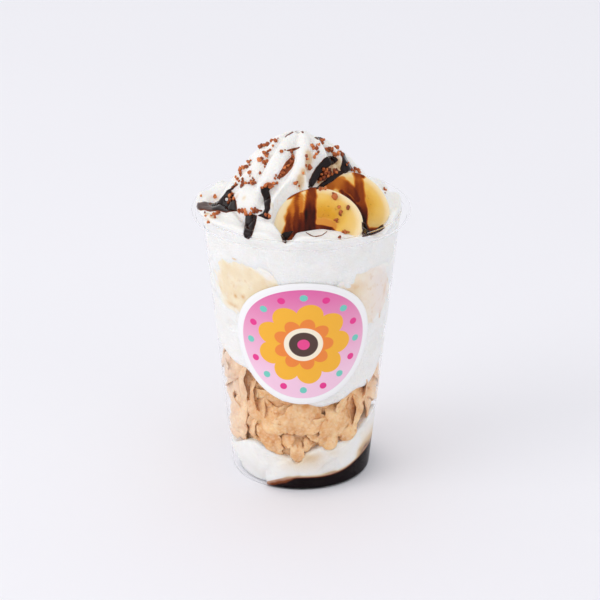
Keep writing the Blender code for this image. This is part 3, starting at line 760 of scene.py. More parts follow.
def toasted_corn(name, light, dark, toast):
    """Dry toasted corn: patches from pale to golden, bubbles, brown specks, and a painted pale sheen at the
    cup's left and right sides.
    """
    finish, tree = new_finish(name, {
        "Roughness": 0.6, "Specular IOR Level": 0.3,
        "Subsurface Weight": 0.15, "Subsurface Radius": (0.002, 0.0012, 0.0006)})
    where = add_node(tree, "ShaderNodeTexCoord").outputs["Object"]
    cells = add_node(tree, "ShaderNodeTexVoronoi", {"Vector": where, "Scale": 620.0, "Randomness": 1.0})
    bubble = ranged(tree, cells.outputs["Distance"], 0.1, 0.75, 1.0, 0.0)
    base = mix(tree, mottle(tree, 230, 3.0), light, dark)
    toned = mix(tree, read_values(tree, "tone"), base, mix(tree, mottle(tree, 120), base, toast))
    bubbly = mix(tree, bubble, toned, mix(tree, 0.45, toned, paint(252, 226, 190)))
    spotted = mix(tree, mottle(tree, 480, 3.0, 0.60, 0.76), bubbly, toast)
    # Painted sheen: paler towards the cup's left and right sides, where the wall is seen at a slant, and
    # most on the left, the lit side.
    side = add_node(tree, "ShaderNodeSeparateXYZ", {0: where}).outputs[0]
    left = ranged(tree, side, -0.034, -0.020, 0.75, 0.0)
    right = ranged(tree, side, 0.026, 0.036, 0.0, 0.55)
    painted_side_sheen = mix(tree, calc(tree, "ADD", left, right), spotted, paint(243, 224, 208))
    rough = bump(tree, mottle(tree, 900, 4.0, 0.3, 0.7), 0.35, 0.0004)
    lumps = add_node(tree, "ShaderNodeBump", {
        "Height": bubble, "Strength": 0.4, "Distance": 0.0003, "Normal": rough})
    dress(tree, painted_side_sheen, lumps.outputs[0])
    return finish


core = core_rings()
core_mesh = ringed_mesh("cornflake_core", core, on_axis(core[0][0, 2]), on_axis(core[-1][0, 2]))
core_finish = toasted_corn("toasted_corn_deep",
                           paint(246, 200, 150), paint(230, 172, 120), paint(202, 134, 88))
add_piece("cornflake_core", core_mesh, core_finish, "cornflakes", "cornflakes")
flake_finish = toasted_corn("toasted_corn", paint(252, 214, 164), paint(242, 188, 128), paint(212, 140, 80))
flake_draw = random.Random(FLAKE_SEED)
flake_kinds = [flake_mesh(flake_draw, narrow, 24, 64) for narrow in FLAKE_SHAPES]
for rings, spokes in ((13, 34), (8, 22)):
    for count in range(PLAIN_KINDS):
        flake_kinds.append(flake_mesh(flake_draw, flake_draw.uniform(0.5, 0.86), rings, spokes))
flakes_mesh = scattered("cornflakes_at_wall", flake_places(), flake_kinds, flake_finish, FLAKE_SEED,
                        *FLAKE_BUMPS)
press_on_wall(flakes_mesh)
add_piece("cornflakes_at_wall", flakes_mesh, flake_finish, "cornflakes", "cornflakes")


# ================================================================ whipped cream over the cornflakes
# A second, deeper fill of whipped cream. It sinks between the topmost flakes and is pressed flat
# against the wall, where it smears over the banana slices.
CREAM_JOIN = (0.0930, ((0.0030, 2, 20), (0.0020, 5, 70)))
JOIN_LAP = 0.003                # the swirl's foot laps this far over this cream, and both sink in there
JOIN_SLOPE = 0.00012


def cream_join(share, angle):
    """Where this cream ends and the swirl begins."""
    return level(CREAM_JOIN, angle, share)


def cream_over_flakes(share, angle):
    """The underside of the cream, with drips that hang between the flakes."""
    drips = 0.0012 * np.cos(np.radians(9 * angle + 160)) - 0.0003 * np.cos(np.radians(17 * angle))
    return flakes_top(share, angle) - 0.0006 - share * drips


def upper_creases(side):
    """How far this cream and the swirl's foot draw back from the wall, in the same creases."""
    return 0.7 * CREASE * lobes(side, 0.014, 8)


def middle_relief(side, angle, share):
    """Creases in the cream, and a rounded lower edge."""
    lower = 0.0007 * (1 - smooth_step(0.0, 0.06, share)) ** 2
    under_swirl = JOIN_SLOPE * np.clip(1 - (cream_join(1.0, angle) - side[..., 2]) / JOIN_LAP, 0, 1)
    return upper_creases(side) + lower + under_swirl


middle_mesh = layer_mesh("middle_cream", cream_over_flakes, cream_join, 60, middle_relief)
add_piece("middle_cream", middle_mesh, cream_finish, "whipped_cream", "cream_middle")


# ================================================================ banana slices against the wall
# Thick oval slices of ripe banana stood in the cream and pressed on the plastic, which bends their
# faces. Cream smears over their edges, so they show as pale tan patches.
SLICE_THICK = 0.0080
# Angle, height of the middle, length, width, turn.
WALL_SLICES = (
    (-40.5, 0.1000, 0.0465, 0.0300, 2),
    (46, 0.0930, 0.0470, 0.0350, 6),
    (118, 0.0970, 0.040, 0.029, -14),
    (180, 0.0940, 0.041, 0.030, 12),
    (-111, 0.0975, 0.039, 0.029, 18),
)
# Darker marks in them: angle, height, half width, half height, share.
SLICE_MARKS = (
    (-44.8, 0.0953, 0.0010, 0.0010, 0.9), (-38.4, 0.0962, 0.0010, 0.0009, 0.8),
    (-49, 0.0902, 0.0030, 0.0009, 0.5), (-43, 0.1140, 0.0024, 0.0008, 0.5),
    (65, 0.0934, 0.0013, 0.0034, 0.35), (62.4, 0.0811, 0.0014, 0.0026, 0.5),
    (28, 0.0990, 0.0050, 0.0028, 0.5), (34, 0.1015, 0.0050, 0.0030, 0.4),
)
STROKE_SLOPE = 35               # cream is smeared over them in strokes that fall to the right
SLICE_SPOKES = 128
FLAT_SHARE = 0.93               # a slice's face is flat out to here, and rounded beyond
SLICE_SOFT = 0.0011             # how deep that rounding goes


def slice_outline(share, ray, length, width):
    """A place in an oval slice: along and across it."""
    wobble = 1 + 0.025 * np.cos(3 * ray + 0.6)
    return share * length / 2 * np.cos(ray) * wobble, share * width / 2 * np.sin(ray) * wobble


def slice_mesh(name, place):
    """A closed slice: out over its face, round its edge, and in over its back."""
    rays = np.linspace(0, 2 * math.pi, SLICE_SPOKES, endpoint=False)

    def rounded(turn):
        return FLAT_SHARE + (1 - FLAT_SHARE) * math.sin(turn), SLICE_SOFT * (1 - math.cos(turn))

    rows = [place(share, rays, 0.0) for share in np.linspace(0.03, FLAT_SHARE, 34)]
    for turn in np.radians(np.linspace(15, 90, 6)):
        share, depth = rounded(turn)
        rows.append(place(share, rays, depth))
    for depth in np.linspace(0.2, 0.8, 5) * SLICE_THICK:
        rows.append(place(1.0, rays, depth))
    for turn in np.radians(np.linspace(90, 15, 4)):
        share, depth = rounded(turn)
        rows.append(place(share, rays, SLICE_THICK - depth))
    rows += [place(share, rays, SLICE_THICK) for share in (0.8, 0.5, 0.2)]
    poles = [place(0.0, np.zeros(1), depth)[0] for depth in (0.0, SLICE_THICK)]
    return ringed_mesh(name, rows, *poles)


def wall_slice(name, angle, height, length, width, turn):
    """A slice pressed on the wall, with how far out each point lies and how darkly it is marked."""
    tall = math.hypot(WALL_TOP, WALL_TOP_RADIUS - BASE_RADIUS) / WALL_TOP
    outs, marks = [], []

    def place(share, ray, depth):
        along, across = slice_outline(share, ray, length, width)
        side, rise = spun(along, across, turn)
        rise = rise / tall
        z = height + rise
        degrees = angle + np.degrees(side / reach(height))
        down, over = spun(side, rise, STROKE_SLOPE)
        strokes = ripple(np.stack([down / 3.2, over, 0 * over], axis=-1), 0.0032, 31 + angle, 2)
        mark = 0.0 * over
        for at, middle, wide, high, dark in SLICE_MARKS:
            away = np.radians(degrees - at) * reach(height) / wide
            mark = np.maximum(mark, dark * np.exp(-away ** 2 - ((z - middle) / high) ** 2))
        marks.append(mark)
        outs.append(share + 0.20 * strokes - 0.35 * mark)
        smear = smooth_step(0.70, 1.0, outs[-1])
        out = 0.00006 - 0.00030 * smear - depth
        return polar(degrees, reach(z) + out, z)

    mesh = slice_mesh(name, place)
    add_values(mesh, "out", np.concatenate(outs))
    add_values(mesh, "mark", np.concatenate(marks))
    return mesh


def pressed_banana():
    """Banana seen through plastic and a smear of cream: tan at the heart, fading to cream."""
    finish, tree = new_finish("pressed_banana", {
        "Roughness": 0.45, "Specular IOR Level": 0.35, "Subsurface Weight": 0.3,
        "Subsurface Radius": (0.003, 0.002, 0.001)})
    where = add_node(tree, "ShaderNodeTexCoord").outputs["Object"]
    side = add_node(tree, "ShaderNodeSeparateXYZ", {0: where}).outputs[0]
    flesh = mix(tree, mottle(tree, 170, 3.0), paint(247, 232, 202), paint(238, 217, 180))
    # Painted shade: towards the right, where the slices stand away from the light, the flesh turns a cooler,
    # greyer tone.
    flesh = mix(tree, ranged(tree, side, 0.0215, 0.034), flesh, paint(240, 228, 220))
    streak = calc(tree, "MULTIPLY", mottle(tree, 330, 4.0, 0.56, 0.76), 0.7)
    streaked = mix(tree, streak, flesh, paint(222, 184, 134))
    edge = ranged(tree, read_values(tree, "out"), 0.60, 1.02)
    patch = calc(tree, "MULTIPLY_ADD", mottle(tree, 190, 3.0, 0.38, 0.66), 0.35, edge)
    smeared = mix(tree, ranged(tree, patch, 0.20, 1.00, 0.05, 1.0), streaked, paint(247, 244, 238))
    marked = mix(tree, read_values(tree, "mark"), smeared, paint(218, 168, 98))
    dress(tree, marked, bump(tree, mottle(tree, 500, 3.0), 0.3, 0.0003))
    return finish


pressed_finish = pressed_banana()
for count, values in enumerate(WALL_SLICES, 1):
    name = f"pressed_slice_{count}"
    add_piece(name, wall_slice(name, *values), pressed_finish, "banana", f"banana_wall_{count}")


# ================================================================ the swirl of whipped cream
# Cream squeezed from a star nozzle fills the cup to its lip and rises in a twisted mound. Its folds
# run down and outwards between deep creases, and its edge laps over the wall in soft scallops.
RIM_CREAM = 0.1302              # the cream's usual edge on the wall
RIM_DIPS = (                    # dips in that edge: angle, depth, width
    (-32, 0.0014, 6), (-9, 0.0046, 7), (16, 0.0022, 12), (34, 0.0029, 13), (54, 0.0062, 13),
    (84, 0.0026, 6), (112, 0.0050, 6), (141, 0.0030, 6), (170, 0.0052, 6), (-163, 0.0034, 6),
    (-134, 0.0050, 6), (-112, 0.0024, 6),
)
LAP = 0.0023                    # how far cream laps over the lip, at the left
LAP_TURN = -80
MOUND_FOOT = 0.1275
MOUND_HEIGHT = 0.0335
MOUND_RADIUS = 0.046
MOUND_ROUND = 0.93              # below 1 its flanks bulge
SWIRL_LUMPS = ((0.0006, 0.006, 42), (0.00030, 0.0026, 43))    # height, size and seed
TIP = (0.0010, 0.006)           # height and width of the small point at its top
WALL_BLEND = (0.036, 0.0428)    # between these radii it gives way to the edge on the wall
EDGE_WIDTH, EDGE_DROP = 0.0016, 0.0009    # the rounding of that edge
FOLDS = (-160, -124, -88, -52, -21, 3, 26, 66, 102, 138, 170)    # creases behind, at FOLD_RADIUS
FOLD_RADIUS = 0.018
FOLD_TWIST = 2100.0             # degrees for each metre outwards
FOLD_HEIGHT = 0.0046
FOLD_WANDER = (5.0, 0.013)      # how far they stray, in degrees, and over what size
# Ribbons of cream at the front, as places of (angle, radius, half width, rise over the mound).
RIBBONS = (
    ((40, 0.0020, 0.0030, 0.0016), (10, 0.0090, 0.0028, 0.0022), (3, 0.0165, 0.0030, 0.0023),
     (-11, 0.0235, 0.0042, 0.0022), (-21, 0.0294, 0.0050, 0.0021), (-30, 0.0335, 0.0042, 0.0011)),
    ((70, 0.0065, 0.0024, 0.0014), (46, 0.0118, 0.0024, 0.0018), (24, 0.0165, 0.0024, 0.0019),
     (9, 0.0212, 0.0026, 0.0016), (2, 0.0270, 0.0028, 0.0010)),
    ((-70, 0.0050, 0.0032, 0.0014), (-44, 0.0120, 0.0036, 0.0020), (-43, 0.0190, 0.0040, 0.0022),
     (-44, 0.0250, 0.0034, 0.0012)),
    ((-110, 0.0070, 0.0034, 0.0014), (-80, 0.0140, 0.0038, 0.0022), (-75, 0.0210, 0.0042, 0.0022),
     (-80, 0.0275, 0.0036, 0.0012)),
    ((-63, 0.0300, 0.0050, 0.0020), (-46, 0.0306, 0.0054, 0.0024)),
    ((-92, 0.0330, 0.0046, 0.0012), (-82, 0.0330, 0.0040, 0.0010)),
    ((-125, 0.0100, 0.0036, 0.0022), (-112, 0.0160, 0.0040, 0.0030), (-106, 0.0240, 0.0046, 0.0032),
     (-104, 0.0300, 0.0040, 0.0016)),
    ((-72, 0.0405, 0.0046, 0.0014), (-52, 0.0410, 0.0052, 0.0020), (-43, 0.0412, 0.0036, 0.0012)),
    ((-30, 0.0385, 0.0042, 0.0018), (-17, 0.0395, 0.0040, 0.0016)),
    ((104, 0.0110, 0.0026, 0.0016), (88, 0.0160, 0.0024, 0.0014), (76, 0.0205, 0.0022, 0.0006)),
    ((76, 0.0385, 0.0044, 0.0012), (92, 0.0385, 0.0050, 0.0016)),
    ((-120, 0.0400, 0.0050, 0.0016), (-100, 0.0410, 0.0044, 0.0014)),
)
RIBBON_BOW = 0.75               # how round their backs are
RIBBON_DRIFT = (0.0012, 0.010)  # how far they stray, and over what size
BLEND_SHARP = 2200.0            # how sharply they meet
VALLEY = -0.0030                # how far creases between ribbons fall below the mound
FRONT = (-128, -108, 78, 98)    # the ribbons fade in from the folds, and out again, at these angles
# Hollows where sauce has pooled: angle, radius, depth, width.
HOLLOWS = ((-11, 0.0356, 0.0028, 0.0028), (34, 0.0400, 0.0004, 0.0060), (50, 0.0397, 0.0028, 0.0042),
           (-72, 0.0344, 0.0012, 0.0014), (50, 0.0175, 0.0012, 0.0040), (85, 0.0100, 0.0014, 0.0070),
           (122, 0.0100, 0.0014, 0.0070))
# Slices on top: middle of the face, length, width, turn, side lean, back lean, and how far the face is
# off its middle, upwards.
TOP_SLICES = {
    "front": ((0.0070, -0.0298, 0.1311), 0.0390, 0.0340, 10, 0, 36, -0.0020),
    "back": ((0.0218, -0.0156, 0.1325), 0.0350, 0.0320, -20, 8, 33, -0.0010),
}
FACE_CLEAR = 0.0014             # how far the cream stays below a face
FACE_RISE = (0.16, 0.55)        # how steeply it rises beside one, and how much more so at the left
# What lies on the swirl is placed along the photograph's lines of sight, in pixels of its frame. What
# is behind is placed in the same way from the opposite side.
AIM = (-0.00052, 0.0, 0.0810)
DISTANCE = 1.100
ELEVATION = 23.0
LENS = 145.36
SENSOR = 36.0
FRAME = 600
# Where the cream is tinted, in pixels: across, down, share, and spread in metres. The first seven rows
# darken the crease right of the peak to a brown; the others are where sauce has tinted it.
SWIRL_STAINS = (
    (309, 154, 0.46, 0.0018), (309, 160, 0.52, 0.0022), (307, 166, 0.48, 0.0022), (304, 172, 0.42, 0.0018),
    (301, 178, 0.44, 0.0018), (299, 184, 0.46, 0.0018), (301, 187, 0.42, 0.0014), (237, 196, 0.22, 0.0012),
    (244, 198, 0.24, 0.0012), (272, 205, 0.22, 0.0011), (277, 203, 0.22, 0.0011), (207, 214, 0.26, 0.0016),
    (213, 217, 0.30, 0.0018), (208, 221, 0.24, 0.0018), (336, 163, 0.50, 0.0024), (339, 168, 0.60, 0.0020),
    (331, 168, 0.66, 0.0024), (325, 174, 0.80, 0.0024), (320, 180, 0.72, 0.0018),
)
SWIRL_RINGS = 124
SWIRL_STEPS = 360


def sight(x, y, azimuth):
    """The eye, and its way through a pixel; azimuth turns it about the place it looks at."""
    rise = math.radians(ELEVATION)
    turned = Matrix.Rotation(math.radians(azimuth), 3, "Z")
    ahead = Vector((0, math.cos(rise), -math.sin(rise)))
    upwards = Vector((0, math.sin(rise), math.cos(rise)))
    way = ahead * LENS / SENSOR * FRAME + upwards * (FRAME / 2 - y) + Vector((x - FRAME / 2, 0, 0))
    return Vector(AIM) - DISTANCE * (turned @ ahead), (turned @ way).normalized()


def surface_of(*names):
    """The surface of finished pieces, to place things on."""
    spots, faces = [], []
    for name in names:
        mesh = bpy.data.objects[name].data
        start = len(spots)
        spots += [vert.co.copy() for vert in mesh.vertices]
        faces += [[start + index for index in face.vertices] for face in mesh.polygons]
    return BVHTree.FromPolygons(spots, faces)


def lean_frame(middle, side_lean, back_lean, turn):
    """The place and turn of a slice on top; its local Z looks out of its face."""
    yaw = Matrix.Rotation(math.radians(side_lean), 4, "Z")
    pitch = Matrix.Rotation(math.radians(90 - back_lean), 4, "X")
    roll = Matrix.Rotation(math.radians(turn), 4, "Z")
    return np.array(Matrix.Translation(middle) @ yaw @ pitch @ roll)


def fold(angle, radius):
    """The swirl's relief, -0.6 in a crease and 0.4 on a ridge."""
    ends = np.array([*FOLDS, FOLDS[0] + 360])
    turned = (angle + FOLD_TWIST * (radius - FOLD_RADIUS) - FOLDS[0]) % 360 + FOLDS[0]
    place = np.clip(np.searchsorted(ends, turned, side="right") - 1, 0, len(ends) - 2)
    share = (turned - ends[place]) / (ends[place + 1] - ends[place])
    return np.sqrt(np.clip(np.sin(np.pi * share), 0, 1)) - 0.6


def rim_edge(angle):
    """The height of the cream's edge on the wall."""
    dip = 0.0
    for at, depth, width in RIM_DIPS:
        dip = dip + depth * np.exp(-((wrapped(angle - at) / width) ** 2))
    return RIM_CREAM - dip


def lap(angle):
    """How far the cream reaches past the wall, over the lip."""
    return LAP * (1 - smooth_step(24, 42, np.abs(wrapped(angle - LAP_TURN))))


def to_segment(places, start, end):
    """How far along a straight line each place lies, as a share, and how far from it."""
    way = end - start
    share = np.clip((places - start) @ way / (way @ way), 0, 1)
    return share, np.linalg.norm(places - start - share[..., None] * way, axis=-1)


def to_route(places, route):
    """How far places lie from a line through given ones, and what the line's further values are there."""
    best = np.full(places.shape[:-1], np.inf)
    carried = np.zeros((*places.shape[:-1], len(route[0]) - 2))
    for first, second in zip(np.array(route), np.array(route[1:])):
        share, away = to_segment(places, first[:2], second[:2])
        values = first[2:] + share[..., None] * (second[2:] - first[2:])
        nearer = away < best
        best = np.where(nearer, away, best)
        carried = np.where(nearer[..., None], values, carried)
    return best, carried


def plan(angle, radius):
    """A place of (x, y) for an angle and a radius."""
    return tuple(polar(angle, radius, 0.0)[:2])


def ribbon_relief(flat):
    """The height of the ribbons over the mound, blended where they meet."""
    total = np.exp(BLEND_SHARP * VALLEY) * np.ones(flat.shape[:-1])
    for ribbon in RIBBONS:
        away, carried = to_route(flat[..., :2], [(*plan(*row[:2]), *row[2:]) for row in ribbon])
        width, rise = carried[..., 0], carried[..., 1]
        side = RIBBON_BOW * away ** 2 / width
        total = total + np.exp(BLEND_SHARP * np.maximum(rise - side, VALLEY - 0.002))
    return np.log(total) / BLEND_SHARP


def clearing(points):
    """How high cream may stand over a slice's face, with a rise beside it that is steeper at the left."""
    highest = np.ones(points.shape[:-1])
    left = smooth_step(-0.001, 0.006, -points[..., 0])
    for middle, length, width, turn, side_lean, back_lean, lift in TOP_SLICES.values():
        place = lean_frame(middle, side_lean, back_lean, 0)
        normal = place[:3, 2]
        middle = np.array(middle) + lift * place[:3, 1]
        away = points[..., :2] - middle[:2]
        plane = middle[2] - (away @ normal[:2]) / normal[2]
        flat = np.concatenate([points[..., :2], plane[..., None]], axis=-1)
        local = (flat - middle) @ lean_frame(middle, side_lean, back_lean, turn)[:3, :3]
        share = np.hypot(local[..., 0] / (length / 2), local[..., 1] / (width / 2))
        beside = np.maximum(share - FLAT_SHARE - 0.05 * left, 0)
        rise = (FACE_RISE[0] + FACE_RISE[1] * left) * beside ** 1.5
        highest = np.minimum(highest, plane - FACE_CLEAR + rise)
    return highest


def swirl_height(angle, radius):
    """The cream's top: a mound with folds and ribbons that ends at its edge on the wall."""
    share = 0.5 + 0.5 * np.cos(np.pi * np.minimum(radius / MOUND_RADIUS, 1.0))
    mound = MOUND_FOOT + MOUND_HEIGHT * share ** MOUND_ROUND
    flat = polar(angle, radius, 0.0 * mound)
    wander = FOLD_WANDER[0] * ripple(flat, FOLD_WANDER[1], 41)
    strength = smooth_step(0.003, 0.015, radius) * (1 - 0.55 * smooth_step(0.030, 0.042, radius))
    behind = FOLD_HEIGHT * strength * fold(angle + wander, radius)
    drift = np.stack([ripple(flat, RIBBON_DRIFT[1], seed) for seed in (44, 45)], axis=-1)
    before = ribbon_relief(flat[..., :2] + RIBBON_DRIFT[0] * drift)
    turned = wrapped(angle)
    front = smooth_step(FRONT[0], FRONT[1], turned) * (1 - smooth_step(FRONT[2], FRONT[3], turned))
    tip = TIP[0] * np.exp(-(radius / TIP[1]) ** 2)
    mound = mound + behind + (before - behind) * front + tip
    for tall, size, seed in SWIRL_LUMPS:
        mound = mound + tall * ripple(flat, size, seed)
    edge = rim_edge(angle)
    near_wall = smooth_step(*WALL_BLEND, radius)
    height = mound + (edge - mound) * near_wall
    for at, out, depth, width in HOLLOWS:
        away = np.linalg.norm(flat[..., :2] - np.array(plan(at, out)), axis=-1)
        height = height - depth * np.exp(-(away / width) ** 2)
    rounded = np.clip((radius - reach(edge) - lap(angle)) / EDGE_WIDTH + 1, 0, 1)
    height = height - EDGE_DROP * (1 - np.sqrt(np.maximum(1 - rounded ** 2, 0)))
    left_corner = 0.0020 * np.exp(-((turned + 11) / 5) ** 2)
    right_corner = 0.0020 * smooth_step(32, 42, turned) * (1 - smooth_step(62, 76, turned))
    between = 0.0015 * np.exp(-((turned - 18) / 18) ** 2)
    floor = np.minimum(edge, MOUND_FOOT) - 0.001 - (left_corner + right_corner - between)
    return np.maximum(np.minimum(height, clearing(polar(angle, radius, height))),
                      floor + (edge - EDGE_DROP - floor) * near_wall)


def swirl_at(flat):
    """Points on the swirl, or on the lip beyond it, over places of (x, y)."""
    angle = angle_of(flat)
    radius = np.hypot(flat[..., 0], flat[..., 1])
    most = reach(RIM_CREAM) + lap(angle)
    height = swirl_height(angle, np.minimum(radius, most))
    height = np.where(radius > most, np.minimum(height, lip_top(radius)), height)
    return np.concatenate([flat, height[..., None]], axis=-1)


def lip_top(radius):
    """The height of the lip's outside over a radius."""
    roll = LIP_RADIUS + LIP_SHEET / 2
    inside = roll ** 2 - (radius - (RIM_RADIUS - roll)) ** 2
    return CUP_HEIGHT - roll + np.sqrt(np.maximum(inside, 0))


def swirl_rings():
    """Rings out over the mound, over the lip where it laps, then down its side and in below."""
    angles = np.arange(SWIRL_STEPS) * 360 / SWIRL_STEPS
    edge = rim_edge(angles)
    most = reach(edge) + lap(angles)
    rings = []
    for share in (np.arange(SWIRL_RINGS) + 1) / SWIRL_RINGS:
        radius = share * most
        rings.append(polar(angles, radius, swirl_height(angles, radius)))
    for share in (0.95, 0.5, 0.0):
        radius = reach(edge) + share * lap(angles)
        rings.append(polar(angles, radius, np.minimum(edge - 0.0010, lip_top(radius) + 0.0001)))
    start = np.minimum(edge - 0.0012, lip_top(reach(edge)))
    foot = cream_join(1.0, angles) - JOIN_LAP
    for share in np.linspace(0, 1, 46):
        height = start + (foot - start) * share
        side = polar(angles, reach(height), height)
        inwards = upper_creases(side) * smooth_step(0.04, 0.12, share)
        inwards = inwards + JOIN_SLOPE * np.clip(1 - (height - foot) / JOIN_LAP, 0, 1)
        rings.append(polar(angles, reach(height) - inwards, height))
    rings += [polar(angles, share * reach(foot), foot) for share in (0.8, 0.4)]
    return rings


swirl_mesh = ringed_mesh("swirled_cream", swirl_rings(), on_axis(swirl_at(np.zeros(2))[2]),
                         on_axis(cream_join(0, 0)))
add_piece("swirled_cream", swirl_mesh, cream_finish, "whipped_cream", "cream_top")
swirl_surface = surface_of("swirled_cream")
spots = points_of(swirl_mesh)
stain = np.zeros(len(spots))
for x, y, share, spread in SWIRL_STAINS:
    place = np.array(swirl_surface.ray_cast(*sight(x, y, 0.0))[0])
    stain = np.maximum(stain, share * np.exp(-(np.linalg.norm(spots - place, axis=1) / spread) ** 2))
add_values(swirl_mesh, "stain", stain * (1 + 0.4 * ripple(spots, 0.002, 9)))


# ================================================================ banana slices on top
# Two thick oval slices that lean back on the swirl, one before the other. Their faces are moist, paler
# towards the skin side and golden at the heart, and thin sauce has run down over their left halves.
# Runs of sauce on the faces: places of (right, up, half width, depth share), in mm.
STREAKS = {
    "front": (
        ((-8.2, 10, 2.6, 0.26), (-8.4, 8, 3.0, 0.30), (-9.4, 4, 4.0, 0.33), (-9.8, 0, 4.4, 0.56),
         (-9.8, -6, 5.0, 0.66)),
        ((-8.9, 12.4, 1.0, 0.60), (-9.2, 8, 1.2, 0.47), (-9.0, 4, 1.4, 0.65), (-9.0, 0, 2.0, 0.75),
         (-9.0, -6, 2.6, 0.82)),
        ((-12.4, 5, 0.6, 0.40), (-12.5, 2.5, 0.9, 0.58), (-12.7, 0, 1.2, 0.68), (-12.4, -6, 2.0, 0.78)),
        ((-2.2, 14.6, 1.7, 0.76), (-2.6, 10.6, 2.6, 0.63), (-2.8, 8, 2.6, 0.75), (-3.2, 4, 2.8, 0.95),
         (-3.2, 0, 3.0, 0.91), (-3.4, -6, 3.8, 0.97)),
        ((-6.6, 3.0, 0.9, 0.56), (-6.4, -1, 2.0, 0.82), (-6.6, -6, 3.0, 0.9)),
        ((-12.3, 10.4, 0.9, 0.6), (-9.4, 13.2, 1.1, 0.76), (-5.3, 14.8, 1.2, 0.74), (-0.6, 15.6, 1.3, 0.84),
         (2.4, 15.2, 0.8, 0.7)),
        ((-0.6, -3.0, 1.8, 0.74), (3.0, -3.4, 1.5, 0.80), (5.6, -3.8, 1.2, 0.92), (7.4, -4.8, 0.8, 0.6)),
        ((-0.6, -1.2, 3.0, 0.18), (3.5, -1.4, 3.0, 0.18), (6.6, -2.4, 2.3, 0.20)),
    ),
    "back": (
        ((4.3, 15.0, 2.2, 0.64), (4.3, 11.8, 2.2, 0.46), (4.3, 9.0, 2.4, 0.58), (4.0, 6.4, 2.8, 0.62),
         (4.4, 3.6, 2.6, 0.58), (5.0, 0.9, 2.2, 0.54), (5.6, -1.8, 1.6, 0.72), (5.8, -4.5, 1.5, 0.9),
         (5.9, -8, 1.3, 1), (6.0, -13, 1.6, 1)),
        ((-4.5, 10.6, 3.0, 0.36), (-1.0, 8.6, 3.0, 0.56), (1.4, 6.4, 2.2, 0.7), (3.2, 3, 2, 0.75)),
        ((-8.2, 9.6, 2.4, 0.44), (-5.5, 11.2, 2.2, 0.34), (-2.6, 12.2, 1.6, 0.28)),
        ((-3.8, 7.0, 0.9, 0.7), (-2.1, 5.5, 1.0, 0.78), (0.7, 2.6, 0.9, 0.84), (3.1, -0.6, 0.9, 0.84),
         (4.5, -3.2, 1.0, 0.86), (5.5, -5.8, 1.2, 1), (6.0, -13, 1.4, 1)),
        ((2.6, 16.2, 0.9, 0.8), (5.6, 15.4, 1.4, 0.78), (6.6, 13.2, 1.1, 0.7)),
        ((6.5, -12.6, 2.6, 0.70), (10.0, -12.4, 2.3, 0.66), (13.4, -11.0, 1.4, 0.75)),
    ),
}
SAUCE_DEPTH = 0.00030
HEART = (0.17, 0.19, 0.0)       # the golden heart's place in a face, as shares of its half sizes


def streak_depth(streaks, places):
    """How deep sauce lies on a face, 0 to 1, at places of (right, up)."""
    spread = np.concatenate([places, 0 * places[..., :1]], axis=-1)
    wander = np.stack([0.0005 * ripple(spread, 0.004, 51), 0 * places[..., 0]], axis=-1)
    fray = 1 + 0.22 * ripple(spread, 0.0026, 52)
    depth = np.zeros(places.shape[:-1])
    for route in streaks:
        away, carried = to_route((places + wander) * 1000, route)
        width = carried[..., 0] * fray
        depth = np.maximum(depth, carried[..., 1] * (1 - smooth_step(0.62, 1.18, away / width)))
    return depth * (1 + 0.12 * ripple(spread * (1, 0.25, 1), 0.0012, 54))


def top_slice(name, middle, length, width, turn, side_lean, back_lean, lift):
    """A leaning slice, with sauce raised on its face, and its face's places as a UV map."""
    upright = lean_frame(middle, side_lean, back_lean, 0)
    saucy, faces = [], []

    def place(share, ray, depth):
        right, up = spun(*slice_outline(share, ray, length, width), turn)
        up = up + lift
        flat = np.stack([right, up], axis=-1)
        sauce = streak_depth(STREAKS[name], flat) * (depth < 0.6 * SLICE_THICK)
        dish = -0.00035 * np.exp(-(share / 0.45) ** 2) + 0.00012 * ripple(
            np.stack([right, up, 0 * up], axis=-1), 0.0022, 53)
        out = (dish if depth == 0 else 0) + SAUCE_DEPTH * sauce - depth
        wide = 1 + SAUCE_DEPTH * sauce * (depth > 0) / (width / 2)
        saucy.append(sauce)
        faces.append(np.stack([share * np.cos(ray), share * np.sin(ray)], axis=-1))
        local = np.stack([right * wide, up * wide, out + 0 * right, 1 + 0 * right], axis=-1)
        return (local @ upright.T)[..., :3]

    mesh = slice_mesh("top_slice_" + name, place)
    add_values(mesh, "sauce", np.concatenate(saucy))
    add_face_map(mesh, faces)
    return mesh


def add_face_map(mesh, places):
    """A UV map of the places in a face that a mesh's points have."""
    corners = np.array([loop.vertex_index for loop in mesh.loops])
    uv = mesh.uv_layers.new(name="face")
    uv.data.foreach_set("uv", np.concatenate(places)[corners].astype(np.float32).ravel())


def read_face(tree):
    """A place in a face, how far out it is, its height in the face, and its turn round the middle."""
    face = add_node(tree, "ShaderNodeUVMap", uv_map="face").outputs[0]
    out = add_node(tree, "ShaderNodeVectorMath", {0: face}, operation="LENGTH").outputs["Value"]
    parts = add_node(tree, "ShaderNodeSeparateXYZ", {0: face}).outputs
    return face, out, parts["Y"], calc(tree, "ARCTAN2", parts["Y"], parts["X"])


